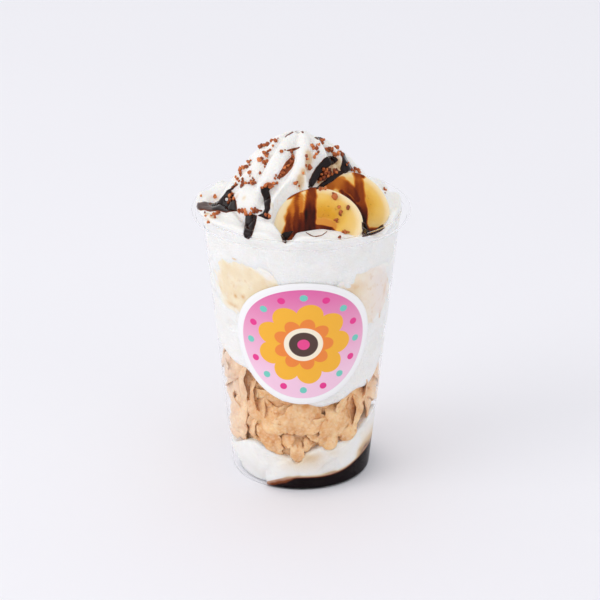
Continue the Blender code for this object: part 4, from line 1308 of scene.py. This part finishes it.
def moist_banana():
    """Moist banana: pale flesh, a golden heart with faint rays, and brown sauce where it has run."""
    finish, tree = new_finish("moist_banana", {
        "Specular IOR Level": 0.12, "Subsurface Weight": 0.15, "Subsurface Radius": (0.004, 0.0025, 0.0010),
        "Coat Weight": 0.05, "Coat Roughness": 0.14})
    face, out, _, turn = read_face(tree)
    rays = add_node(tree, "ShaderNodeCombineXYZ", {0: turn, 1: out})
    fibres = add_node(tree, "ShaderNodeTexNoise", {"Vector": rays.outputs[0], "Scale": 5.0, "Detail": 3.0})
    apart = add_node(tree, "ShaderNodeVectorMath", {0: face, 1: HEART}, operation="DISTANCE")
    off_heart = apart.outputs["Value"]
    blurred = calc(tree, "ADD", off_heart, calc(tree, "MULTIPLY", mottle(tree, 260, 3.0, 0.2, 0.8), 0.10))
    flesh = ramp(tree, blurred, {
        0: paint(200, 126, 0), 0.28: paint(218, 154, 10), 0.52: paint(236, 188, 84),
        0.82: paint(240, 206, 136), 1: paint(242, 218, 172)})
    fibrous = mix(tree, calc(tree, "MULTIPLY", fibres.outputs[0], 0.20), flesh, paint(240, 208, 136))
    golden = mix(tree, ranged(tree, out, 0.82, 1.0), fibrous, paint(250, 232, 196))
    near = ranged(tree, off_heart, 0.12, 0.45, 1.0, 0.0)
    seeds = calc(tree, "MULTIPLY", near, mottle(tree, 700, 2.0, 0.62, 0.72))
    seeded = mix(tree, seeds, golden, paint(158, 104, 30))
    sauce = read_values(tree, "sauce")
    brown = ramp(tree, sauce, {
        0: paint(234, 176, 84), 0.30: paint(204, 118, 34), 0.52: paint(148, 64, 8),
        0.78: paint(92, 26, 4), 1: paint(30, 6, 3)})
    covered = mix(tree, ranged(tree, sauce, 0.01, 0.16), seeded, brown)
    dress(tree, covered, bump(tree, mottle(tree, 650, 3.0), 0.25, 0.0003))
    feed(tree.nodes["Principled BSDF"], {"Roughness": ranged(tree, sauce, 0.0, 1.0, 0.36, 0.22)})
    return finish


moist_finish = moist_banana()
for name, values in TOP_SLICES.items():
    add_piece("top_slice_" + name, top_slice(name, *values), moist_finish, "banana", "banana_" + name)


# ================================================================ thick drizzle on the swirl
# Dark chocolate sauce drizzled over the swirl in short glossy strokes. It lies thick, with rounded
# edges, follows the folds, and pools against the lower edges of the slices.
BEHIND = 180
STANDS_OUT = 0.0025             # sauce and crumbs behind stand out less than this
DRIZZLE_THICK = 0.0010
DRIZZLE_ROUND = 2.0             # its edges are rounded over this many pixels
DRIZZLE_CELL = 0.5
DRIZZLE_SUNK = 0.0006
DRIZZLE_SOUGHT, DRIZZLE_USED = -0.9, -0.6    # lines of sight are cast, and cells made, above these covers
CELL_REACH = 0.0045             # cells longer than this would bridge a deep fold
# Pools and smears at the front: thickness share, then corners in pixels.
DRIZZLE_POOLS = (
    # the broad smear at the left, thinner towards its end
    (0.32, ((196, 208), (198, 203), (205, 201.5), (214, 203.5), (219, 204), (218, 211), (210, 211.5),
            (204, 210), (200, 210.5))),
    (0.55, ((210, 203.5), (214, 203.5), (219, 201), (223, 196), (227, 190.5), (231, 188.5), (232, 186),
            (236, 184), (238, 184.5), (234, 188), (231, 191), (232.5, 193), (236, 201), (237, 211),
            (232, 211.5), (226, 212.5), (218, 211), (212, 211))),
    # the upper strip at the left
    (0.9, ((260.5, 188), (264, 186), (270, 185), (272, 187), (269, 191), (270, 195), (270.5, 200),
           (270, 205), (270, 209), (268, 212), (269, 216), (271, 218.5), (268, 219.5), (262, 217),
           (258, 215.5), (263, 213.5), (265, 209), (264.5, 203), (263.5, 198), (261, 192))),
    # the strip that runs down to the wall
    (0.9, ((246, 214.5), (250, 214), (257, 215.5), (256, 221), (254, 229), (251, 237), (249, 239),
           (245, 237.5), (243.5, 234), (244.5, 227), (245.5, 220))),
    # the crescent right of the peak
    (0.9, ((327, 157), (331, 156), (336, 157.5), (338, 160), (335, 163), (330, 165.5), (327, 168),
           (324, 168.5), (322, 172), (319, 177), (316, 181), (313.5, 185), (312, 188), (308.5, 187.5),
           (309.5, 180), (312, 174), (316, 168), (320, 163), (324, 159))),
    # a thin film inside it, under crumbs
    (0.26, ((321, 171), (325, 167.5), (331, 168), (332, 173), (329, 177), (324, 180), (319, 181.5),
            (317, 180))),
    (0.26, ((333, 169.5), (337, 168), (339, 171), (337, 175), (333, 175))),
    # its right end
    (0.9, ((341, 153), (344, 153), (345.5, 158), (347.5, 162), (350.5, 166), (352.5, 169.5),
           (349, 171), (345, 173), (341, 172.5), (340.5, 168), (342, 163), (342.5, 159))),
    # the band along the back slice
    (0.7, ((340, 171), (343, 173.5), (338, 177), (333, 181), (328, 184), (322, 188), (316, 189),
           (319, 185), (324, 181), (328, 177.5), (332, 175), (336, 172.5))),
    # the crease left of the peak
    (0.15, ((292, 157), (294.5, 159.5), (294, 163), (291.5, 168), (287.5, 173), (282.5, 177.5),
            (279, 179), (277, 178), (280, 172), (283, 167), (286, 162), (289, 158.5))),
    # the pool at the corner of the front slice
    (0.9, ((280.5, 235), (284, 232.5), (291, 231), (293.5, 231.5), (290.5, 235), (287.5, 239.5),
           (285.5, 243), (283, 241.5), (281.5, 238))),
    # a drop near the peak
    (0.45, ((314.5, 137.5), (320, 136), (324, 136), (323, 139.5), (318, 139.5))),
    # the pool below the back slice
    (0.6, ((362, 222), (366, 223.5), (367.5, 229), (370, 230.6), (376, 230), (381, 225.8), (383, 225),
           (384.3, 227.5), (381, 230.8), (374, 234), (368, 236), (362.5, 236.5))),
)
# Strokes at the front: thickness share, then places and half widths, in pixels.
DRIZZLE_LINES = (
    (0.2, ((285.6, 136.8, 0.7), (289, 134, 0.9), (293, 131.5, 1.0), (297, 130.8, 0.9), (300, 130.5, 0.8),
           (303, 132.5, 1.1))),
    (0.2, ((287, 150.6, 0.7), (291, 150, 1.3), (295, 149, 1.2), (299.5, 147.5, 0.7))),
    (0.2, ((306, 232.5, 0.5), (310, 235, 0.6), (314, 236.5, 0.6), (320, 235.5, 0.6), (325, 233, 0.5),
           (327, 231.5, 0.5))),
)
# Strokes seen from behind.
BACK_LINES = (
    (0.9, ((303, 145, 1.0), (296, 151, 2.4), (286, 160, 3.4), (281, 172, 3.1), (284, 184, 3.0),
           (281, 196, 2.6), (279, 203, 1.2))),
    (0.9, ((322, 152, 1.0), (326, 161, 2.4), (325, 172, 3.2), (331, 184, 2.8), (333, 194, 1.3))),
    (0.8, ((263, 162, 1.0), (259, 169, 2.6), (261, 178, 3.2), (256, 187, 2.4), (251, 193, 1.1))),
    (0.7, ((346, 178, 1.2), (351, 186, 3.2), (350, 196, 4.2), (357, 206, 3.6), (368, 212, 1.8))),
    (0.6, ((238, 197, 1.0), (235, 206, 3.0), (227, 213, 3.6), (216, 215, 2.4), (208, 213, 1.1))),
    (0.5, ((300, 207, 0.9), (306, 213, 2.1), (315, 215, 2.4), (323, 212, 0.9))),
)
DRIZZLE_HOLE = (226.6, 199.5, 1.5)    # a hole in the broad smear: its middle and radius


def in_view(surface, spot):
    """Whether something just over a place on a surface is seen from the photograph's side."""
    eye, target = sight(0, 0, 0.0)[0], spot + Vector((0, 0, STANDS_OUT))
    return surface.ray_cast(eye, (target - eye).normalized(), (target - eye).length)[0] is None


def depth_inside(places, corners):
    """How far places lie inside an outline, below 0 outside it."""
    corners = np.array(corners, float)
    best = np.full(places.shape[:-1], np.inf)
    inside = np.zeros(places.shape[:-1], bool)
    for start, end in zip(corners, np.roll(corners, -1, axis=0)):
        way = end - start
        best = np.minimum(best, to_segment(places, start, end)[1])
        level_with = (start[1] > places[..., 1]) != (end[1] > places[..., 1])
        crossing = start[0] + way[0] * (places[..., 1] - start[1]) / (way[1] if way[1] else 1e-12)
        inside ^= level_with & (places[..., 0] < crossing)
    return np.where(inside, best, -best)


def rounded_route(route, steps=5):
    """A line through the same places, with its corners rounded."""
    spots = np.array([route[0], *route, route[-1]], float)
    line = []
    for before, first, second, after in zip(spots, spots[1:], spots[2:], spots[3:]):
        for share in np.arange(steps) / steps:
            bend = 2 * before - 5 * first + 4 * second - after
            twist = 3 * first - before - 3 * second + after
            line.append(first + share * (second - before + share * (bend + share * twist)) / 2)
    return [*line, spots[-1]]


def drizzle_cover(places, pools, lines, hole):
    """How thick sauce lies at pixels, as a share, with rounded edges; below 0 outside it."""
    spread = np.concatenate([places, 0 * places[..., :1]], axis=-1)
    places = places + 0.5 * np.stack([ripple(spread, 5.0, seed) for seed in (61, 62)], axis=-1)
    cover = np.full(places.shape[:-1], -1.0)
    depths = [(thick, DRIZZLE_ROUND, depth_inside(places, corners) + 0.2) for thick, corners in pools]
    for thick, line in lines:
        away, half = to_route(places, rounded_route(line))
        depths.append((thick, np.minimum(half[..., 0], DRIZZLE_ROUND), half[..., 0] - away))
    for thick, rounding, depth in depths:
        share = depth / rounding
        bulge = np.where(share > 0, np.sqrt(1 - (1 - np.clip(share, 0, 1)) ** 2), share)
        cover = np.maximum(cover, np.where(share > 0, thick * bulge, share))
    if hole:
        away = np.linalg.norm(places - np.array(hole[:2]), axis=-1)
        cover = np.minimum(cover, 1.6 * (away / hole[2] - 1))
    return cover * (1 + 0.15 * ripple(spread, 9.0, 63))


def spread_over(values, times):
    """Each value of a grid shared with its neighbours, a number of times."""
    for _ in range(times):
        values = sum(np.roll(values, shift, axis=axis) for axis in (0, 1) for shift in (-1, 1)) + 2 * values
        values = values / 6
    return values


def corners_of(grid):
    """What a grid holds at the four corners of its cells, in order round them."""
    return [grid[:-1, :-1], grid[1:, :-1], grid[1:, 1:], grid[:-1, 1:]]


def drizzle_patches(pools, lines, azimuth=0.0, hole=None):
    """Points over and under the sauce on a grid of sights, its faces, and how thick it is."""
    marks = np.array([place[:2] for row in (*pools, *lines) for place in row[-1]], float)
    low, high = marks.min(axis=0) - 5, marks.max(axis=0) + 5
    flat = np.stack(np.meshgrid(np.arange(low[0], high[0], DRIZZLE_CELL),
                                np.arange(low[1], high[1], DRIZZLE_CELL), indexing="ij"), axis=-1)
    cover = drizzle_cover(flat, pools, lines, hole)
    met, out = np.full((*cover.shape, 3), np.nan), np.zeros((*cover.shape, 3))
    for i, j in zip(*np.nonzero(cover > DRIZZLE_SOUGHT)):
        spot, normal, _, _ = under_drizzle.ray_cast(*sight(*flat[i, j], azimuth))
        if spot is not None and not (azimuth and in_view(under_drizzle, spot)):
            met[i, j], out[i, j] = spot, normal
    out = spread_over(out, 4)
    out = out / np.maximum(np.linalg.norm(out, axis=-1, keepdims=True), 1e-9)
    used = (cover > DRIZZLE_USED) & ~np.isnan(met[..., 0])
    corners = corners_of(met)
    sides = [np.linalg.norm(a - b, axis=-1) for a, b in zip(corners, corners[1:] + corners[:1])]
    cells = np.all(corners_of(used), axis=0)
    cells &= np.nan_to_num(np.max(sides, axis=0), nan=1.0) < CELL_REACH
    whole = np.all(corners_of(np.pad(cells, 1)), axis=0)
    thinned = np.clip(spread_over(whole.astype(float), 6) * 2 - 1, 0.45, 1)
    touched = np.any(corners_of(np.pad(cells, 1)), axis=0)
    number = np.full(touched.shape, -1)
    number[touched] = np.arange(touched.sum())
    raised = cover[touched]
    raised = np.where(raised > 0, DRIZZLE_THICK * raised * thinned[touched], DRIZZLE_SUNK * raised)
    top = met[touched] + raised[:, None] * out[touched]
    under = met[touched] - DRIZZLE_SUNK * out[touched]
    quads = np.stack([corner[cells] for corner in corners_of(number)], axis=-1)
    return top, under, quads, smooth_step(-0.05, 0.75, cover[touched])


def drizzle_mesh():
    """Closed patches over the food wherever there is sauce, sunk into what lies below."""
    spots, faces, bodies = [], [], []
    for top, under, quads, body in (drizzle_patches(DRIZZLE_POOLS, DRIZZLE_LINES, hole=DRIZZLE_HOLE),
                                    drizzle_patches((), BACK_LINES, BEHIND)):
        start, count = len(spots), len(top)
        quads = (quads + start).tolist()
        faces += quads + [[index + count for index in face[::-1]] for face in quads]
        edges = {}
        for face in quads:
            for first, second in zip(face, face[1:] + face[:1]):
                if edges.pop((second, first), None) is None:
                    edges[(first, second)] = True
        faces += [(second, first, first + count, second + count) for first, second in edges]
        spots += [*top.tolist(), *under.tolist()]
        bodies += [*body, *body]
    mesh = bpy.data.meshes.new("chocolate_drizzle")
    mesh.from_pydata(spots, [], faces)
    add_values(mesh, "body", bodies)
    face_outwards(mesh)
    return mesh


under_drizzle = surface_of("swirled_cream", "top_slice_front", "top_slice_back")
glossy_sauce = chocolate_sauce("chocolate_sauce_glossy", 0.22, paint(168, 84, 40), paint(24, 8, 9))
add_piece("chocolate_drizzle", drizzle_mesh(), glossy_sauce, "chocolate_sauce")


# ================================================================ crumbs
# Crunchy caramel-brown crumbs scattered over the swirl and the slices, thickest on the swirl's left.
# They are dry and angular, and sit partly sunk in the cream.
PEAK = (300, 172)               # a pixel in the middle of the swirl
CRUMB_KINDS = 9
CRUMB_SEED = 5
CRUMB_SIZE = 0.00026            # a crumb's half width for each pixel of its width
CRUMB_OUT = 0.45                # its middle stands out by this share of its half width
CRUMB_BUMPS = (0.0006, 0.0002)  # size and height
# Crumbs of the front, in pixels: across, down and width.
CRUMBS = (
    (259.5, 147, 3.5), (262, 146.5, 4), (265, 145.5, 4), (268, 144.5, 4), (272, 141, 3),
    (276, 141, 3.5), (278, 138.5, 1.5), (273, 146, 2.5), (268, 151.5, 2.5), (270, 150, 2),
    (265, 153, 4), (266.5, 155.5, 3.5), (268, 154, 2.5), (260, 160, 4), (262, 158.5, 3),
    (264, 162, 3.5), (267, 161, 3), (265, 167, 2), (265.5, 164.5, 2), (249, 162, 4), (250, 165, 3),
    (251, 160.5, 2), (238, 169.5, 3), (241, 169, 4), (244, 167.5, 4), (247, 167, 4), (241, 173, 4),
    (241.5, 176, 3.5), (250, 172.5, 3), (260, 173, 3), (250, 176, 1.5), (253, 178, 2), (236, 177, 3),
    (238, 179, 3), (239.5, 181, 2.5), (243, 179, 3), (243, 182, 3), (242.5, 186, 4), (246, 184, 3),
    (244, 184.5, 3), (251, 181, 2.5), (253, 183, 4), (256, 183, 3), (254, 180, 2), (249, 183, 2),
    (281.5, 151.5, 3.5), (285, 150, 1.5), (291, 151, 3), (292, 154, 2), (294, 156.5, 3),
    (294.5, 158, 2), (290, 159.5, 2.5), (292.5, 162, 3.5), (291, 164, 3.5), (288.5, 166, 3),
    (284, 168, 3), (286, 170, 2.5), (282, 172.5, 3), (284, 173, 2.5), (280.5, 175, 3), (279, 177.5, 2.5),
    (276, 175.5, 2.5), (275, 178.5, 2), (274, 183.5, 3),
    (277, 183, 3), (270, 184, 3), (266, 186, 4), (270, 186.5, 4), (262, 188, 3), (272, 186, 3),
    (214.5, 197, 3.5), (201, 196.5, 2.5), (230, 196, 4), (232, 194, 3), (231, 200, 4), (234, 199, 3),
    (229, 203, 3), (236, 184.5, 3), (233, 187, 2), (240, 211, 3.5), (243, 211, 4), (246, 213, 4),
    (245, 210, 2.5), (247, 215, 3), (252, 209, 3), (254, 211, 4.5), (258, 211.5, 4), (261, 211, 3),
    (255, 208, 2), (251, 214, 3), (266, 215, 4), (269, 217, 3.5), (268, 214.5, 2), (205, 213, 2.5),
    (206, 216, 2.5), (207, 219, 2.5), (209, 222, 2.5), (214, 215, 4), (217, 214, 4), (215, 218, 3),
    (219, 213, 3), (211, 216, 2), (306, 156, 3.5), (306.5, 159, 3), (305.5, 165.5, 2.5),
    (309, 167.5, 4), (311, 168, 3), (303, 173, 2.5), (295.5, 183, 3.5), (297, 181.5, 2),
    (299, 186, 1.5), (311, 145.5, 4), (313, 146.5, 2), (314, 149, 3.5), (317, 149, 4), (318, 152, 3.5),
    (316, 154, 3.5), (314, 156.5, 3), (321, 141, 4), (322, 143.5, 3), (319, 145, 3), (317, 144.5, 1.5),
    (323, 139.5, 3), (327, 149, 4), (330, 148.5, 4), (332, 150, 4), (335, 147.5, 4), (337, 148, 3.5),
    (329, 151, 3), (335, 155, 4), (338, 154, 4), (341, 155, 4), (340, 152, 3), (348, 163, 2),
    (346.5, 165, 2), (323, 169, 3.5), (326, 170, 4), (328, 172, 3.5), (325, 173, 4), (321, 174, 3),
    (328, 175.5, 3), (323, 177, 3.5), (320, 179, 3), (334, 170, 3.5), (336, 172, 3), (332, 174, 3),
    (318, 182, 2), (351, 169.5, 3), (355, 169, 3.5), (358, 170, 3.5), (359, 172, 3), (354, 171.5, 3),
    (333.5, 194, 4), (335, 197, 5), (339, 207, 3), (348, 208, 4), (341, 212, 4), (340, 214.5, 3.5),
    (336, 220, 3.5), (337, 222, 2.5), (345, 233, 4), (342.5, 232.5, 3), (348, 232, 3), (339.5, 238, 3),
    (320, 189, 3), (325, 189, 4), (322, 188, 2), (384, 189, 3), (386, 190, 2), (385, 193, 1.5),
)
# Clusters of crumbs seen from behind, in pixels: across, down, spread and count.
BACK_CRUMBS = (
    (266, 168, 8, 16), (298, 162, 8, 14), (320, 158, 7, 10), (286, 188, 11, 16), (338, 178, 8, 11),
    (250, 192, 7, 9), (232, 206, 6, 7), (356, 202, 8, 9), (312, 208, 12, 9), (328, 196, 9, 10),
    (262, 214, 9, 5),
)
BACK_CRUMB_WIDTHS = (2.0, 4.5, 3.2)    # their least, greatest and usual width


def crumb_mesh(draw):
    """One angular crumb, about 2 across."""
    bm = bmesh.new()
    bmesh.ops.create_icosphere(bm, subdivisions=2, radius=1)
    stretch = Vector((draw.uniform(0.8, 1.35), draw.uniform(0.7, 1.1), draw.uniform(0.55, 0.9)))
    seed = draw.uniform(0, 40)
    for vert in bm.verts:
        knock = 1 + 0.45 * noise.noise(vert.co * 1.3 + Vector((seed, 0, 0))) + draw.uniform(-0.09, 0.09)
        vert.co = vert.co * stretch * knock
    mesh = bpy.data.meshes.new("crumb_kind")
    bm.to_mesh(mesh)
    bm.free()
    return mesh


def crumb_places():
    """The crumbs of the front where the photograph has them, and clusters behind."""
    draw = random.Random(CRUMB_SEED)
    rows = [(x, y, wide, 0.0) for x, y, wide in CRUMBS]
    for x, y, spread, count in BACK_CRUMBS:
        rows += [(x + draw.gauss(0, spread), y + draw.gauss(0, spread),
                  draw.triangular(*BACK_CRUMB_WIDTHS), BEHIND) for _ in range(count)]
    places = []
    for x, y, wide, azimuth in rows:
        place = Vector((x, y))
        inwards = (Vector(PEAK) - place).normalized()
        spot = None
        while spot is None:
            spot, out, _, _ = under_crumbs.ray_cast(*sight(*place, azimuth))
            place += inwards
        over_cup = math.hypot(spot.x, spot.y) < RIM_RADIUS - LIP_RADIUS
        if over_cup and not (azimuth and in_view(under_crumbs, spot)):
            half = CRUMB_SIZE * wide * draw.uniform(0.85, 1.22)
            turn = tuple(draw.uniform(0, 2 * math.pi) for _ in range(3))
            places.append((spot + CRUMB_OUT * half * out, turn, half, draw.randrange(CRUMB_KINDS)))
    return places


def caramel_crumb():
    """Dry caramel crumbs, from orange to dark brown."""
    finish, tree = new_finish("caramel_crumb", {"Roughness": 0.55, "Specular IOR Level": 0.4})
    toasted = ramp(tree, read_values(tree, "tone"), {
        0: paint(232, 138, 78), 0.45: paint(200, 108, 54), 0.75: paint(170, 84, 42), 1: paint(140, 66, 32)})
    spotted = mix(tree, mottle(tree, 700, 2.0, 0.50, 0.66), toasted, paint(146, 68, 32))
    dress(tree, spotted, bump(tree, mottle(tree, 2600, 2.0), 0.6, 0.0002))
    return finish


under_crumbs = surface_of("swirled_cream", "top_slice_front", "top_slice_back", "chocolate_drizzle")
crumb_finish = caramel_crumb()
crumb_draw = random.Random(CRUMB_SEED)
crumb_kinds = [crumb_mesh(crumb_draw) for _ in range(CRUMB_KINDS)]
crumbs_mesh = scattered("caramel_crumbs", crumb_places(), crumb_kinds, crumb_finish, CRUMB_SEED,
                        *CRUMB_BUMPS)
add_piece("caramel_crumbs", crumbs_mesh, crumb_finish, "crumbs")


# ================================================================ the sticker
# A round paper sticker with a white edge and a glossy printed rosette, stuck on the outside of the wall
# and bent to it.
LABEL_TURN = 1.5
LABEL_MIDDLE = 0.0765
LABEL_WIDTH = 0.064
LABEL_HEIGHT = 0.061
LABEL_GAP = 0.00012
LABEL_THICK = 0.00022
# Shares of the sticker's radius.
WHITE_EDGE = 0.895
DOT_RING = 0.76
DOT_RADIUS = 0.052
PETALS = 9
DOTS = 8                        # of each colour


def sticker_mesh():
    """A thin disc bent to the wall, with its own flat places as a UV map."""
    rays = np.linspace(0, 2 * math.pi, 120, endpoint=False)
    faces = []

    def place(share, ray, out):
        x, y = share * np.cos(ray), share * np.sin(ray)
        z = LABEL_MIDDLE + y * LABEL_HEIGHT / 2
        degrees = LABEL_TURN + np.degrees(x * LABEL_WIDTH / 2 / wall_outside(LABEL_MIDDLE))
        faces.append(np.stack([x, y], axis=-1))
        return polar(degrees, wall_outside(z) + out, z)

    over, under = LABEL_GAP + LABEL_THICK, LABEL_GAP
    rows = [place(share, rays, over) for share in np.linspace(0.05, 0.995, 20)]
    rows += [place(1.0, rays, (over + under) / 2)]
    rows += [place(share, rays, under) for share in np.linspace(0.995, 0.05, 6)]
    poles = [place(0.0, np.zeros(1), out)[0] for out in (over, under)]
    mesh = ringed_mesh("round_sticker", rows, *poles)
    add_face_map(mesh, faces)
    return mesh


def inside(tree, value, limit):
    """A mask of 1 where a value is below a limit, with a crisp printed edge."""
    return ranged(tree, calc(tree, "SUBTRACT", limit, value), -0.004, 0.004)


def printed_paper():
    """A pink ground with an amber rosette, a ring of dots and a white edge."""
    finish, tree = new_finish("printed_paper", {
        "Roughness": 0.38, "Specular IOR Level": 0.45, "Coat Weight": 0.25, "Coat Roughness": 0.2})
    _, out, height, turn = read_face(tree)
    petal = calc(tree, "ABSOLUTE", calc(tree, "COSINE", calc(tree, "MULTIPLY", turn, PETALS / 2)))
    scallop = calc(tree, "POWER", petal, 0.7)
    colour = mix(tree, ranged(tree, height, -0.5, 0.9), paint(244, 200, 224), paint(226, 96, 164))
    for between, swell, shade in ((0.52, 0.14, paint(247, 180, 36)), (0.30, 0.12, paint(240, 132, 44))):
        petals = calc(tree, "MULTIPLY_ADD", scallop, swell, between)
        colour = mix(tree, inside(tree, out, petals), colour, shade)
    for radius, shade in ((0.27, paint(250, 238, 214)), (0.20, paint(72, 42, 32)),
                          (0.085, paint(236, 62, 140))):
        colour = mix(tree, inside(tree, out, radius), colour, shade)
    cell = 2 * math.pi / DOTS
    for shift, shade in ((0.0, paint(112, 205, 190)), (cell / 2, paint(232, 40, 140))):
        moved = calc(tree, "ADD", turn, shift + math.pi)
        within = calc(tree, "MODULO", calc(tree, "ADD", moved, cell / 2), cell)
        rest = calc(tree, "SUBTRACT", within, cell / 2)
        side = calc(tree, "MULTIPLY", rest, DOT_RING)
        along = calc(tree, "SUBTRACT", out, DOT_RING)
        squares = [calc(tree, "MULTIPLY", value, value) for value in (side, along)]
        away = calc(tree, "SQRT", calc(tree, "ADD", *squares))
        colour = mix(tree, inside(tree, away, DOT_RADIUS), colour, shade)
    colour = mix(tree, inside(tree, out, WHITE_EDGE), paint(246, 245, 246), colour)
    dress(tree, colour, bump(tree, mottle(tree, 2200, 1.0, 0.35, 0.65), 0.06, 0.0001))
    return finish


add_piece("round_sticker", sticker_mesh(), printed_paper(), "label_paper", "label")


# ================================================================ table, light and camera
# A plain pale table under a large soft light from the left and a weak one from the right, with light
# all round, seen from the photograph's height.
LIT_PLACE = (0, 0, 0.08)        # the lamps are turned towards this
LAMP_WIDTH = 1.2


def add_aimed(name, data, place, target):
    """A lamp or camera at a place, turned towards a target."""
    thing = add_object(name, data)
    thing.location = place
    thing.rotation_euler = (Vector(target) - Vector(place)).to_track_quat("-Z", "Y").to_euler()
    return thing


def soft_lamp(name, place, power, colour):
    """A round lamp that is wide enough for soft shadows."""
    lamp = bpy.data.lights.new(name, "AREA")
    lamp.shape = "DISK"
    lamp.size = LAMP_WIDTH
    lamp.energy = power
    lamp.color = colour
    add_aimed(name, lamp, place, LIT_PLACE)


table_mesh = bpy.data.meshes.new("table")
bm = bmesh.new()
bmesh.ops.create_grid(bm, x_segments=2, y_segments=2, size=6)
bm.to_mesh(table_mesh)
bm.free()
table = add_object("table", table_mesh)
table_finish, table_tree = new_finish("pale_table", {"Roughness": 0.7, "Specular IOR Level": 0.2})
feed(table_tree.nodes["Principled BSDF"], {
    "Base Color": mix(table_tree, mottle(table_tree, 3.0, 1.0), paint(242, 241, 246), paint(241, 240, 245))})
table_mesh.materials.append(table_finish)

world = bpy.data.worlds.new("soft_room")
bpy.context.scene.world = world
world.use_nodes = True
sky = add_node(world.node_tree, "ShaderNodeVectorMath", {
    0: add_node(world.node_tree, "ShaderNodeTexCoord").outputs["Generated"], 1: (-0.30, 0.50, 0.81)},
    operation="DOT_PRODUCT").outputs["Value"]
glow = add_node(world.node_tree, "ShaderNodeMapRange", {
    "Value": sky, "From Min": -0.35, "From Max": 0.9, "To Min": 0.84, "To Max": 0.95})
feed(world.node_tree.nodes["Background"], {"Color": (0.98, 0.985, 1.0, 1), "Strength": glow.outputs[0]})
soft_lamp("window_light", (-1.38, -0.62, 0.95), 6.7, (1.0, 0.99, 0.98))
soft_lamp("fill_light", (1.1, -1.2, 0.8), 1.3, (1.0, 1.0, 1.0))

lens = bpy.data.cameras.new("camera")
lens.lens = LENS
lens.sensor_width = SENSOR
lens.clip_start = 0.01
eye = sight(FRAME / 2, FRAME / 2, 0.0)[0]
bpy.context.scene.camera = add_aimed("camera", lens, eye, AIM)
bpy.context.scene.view_settings.view_transform = "Standard"
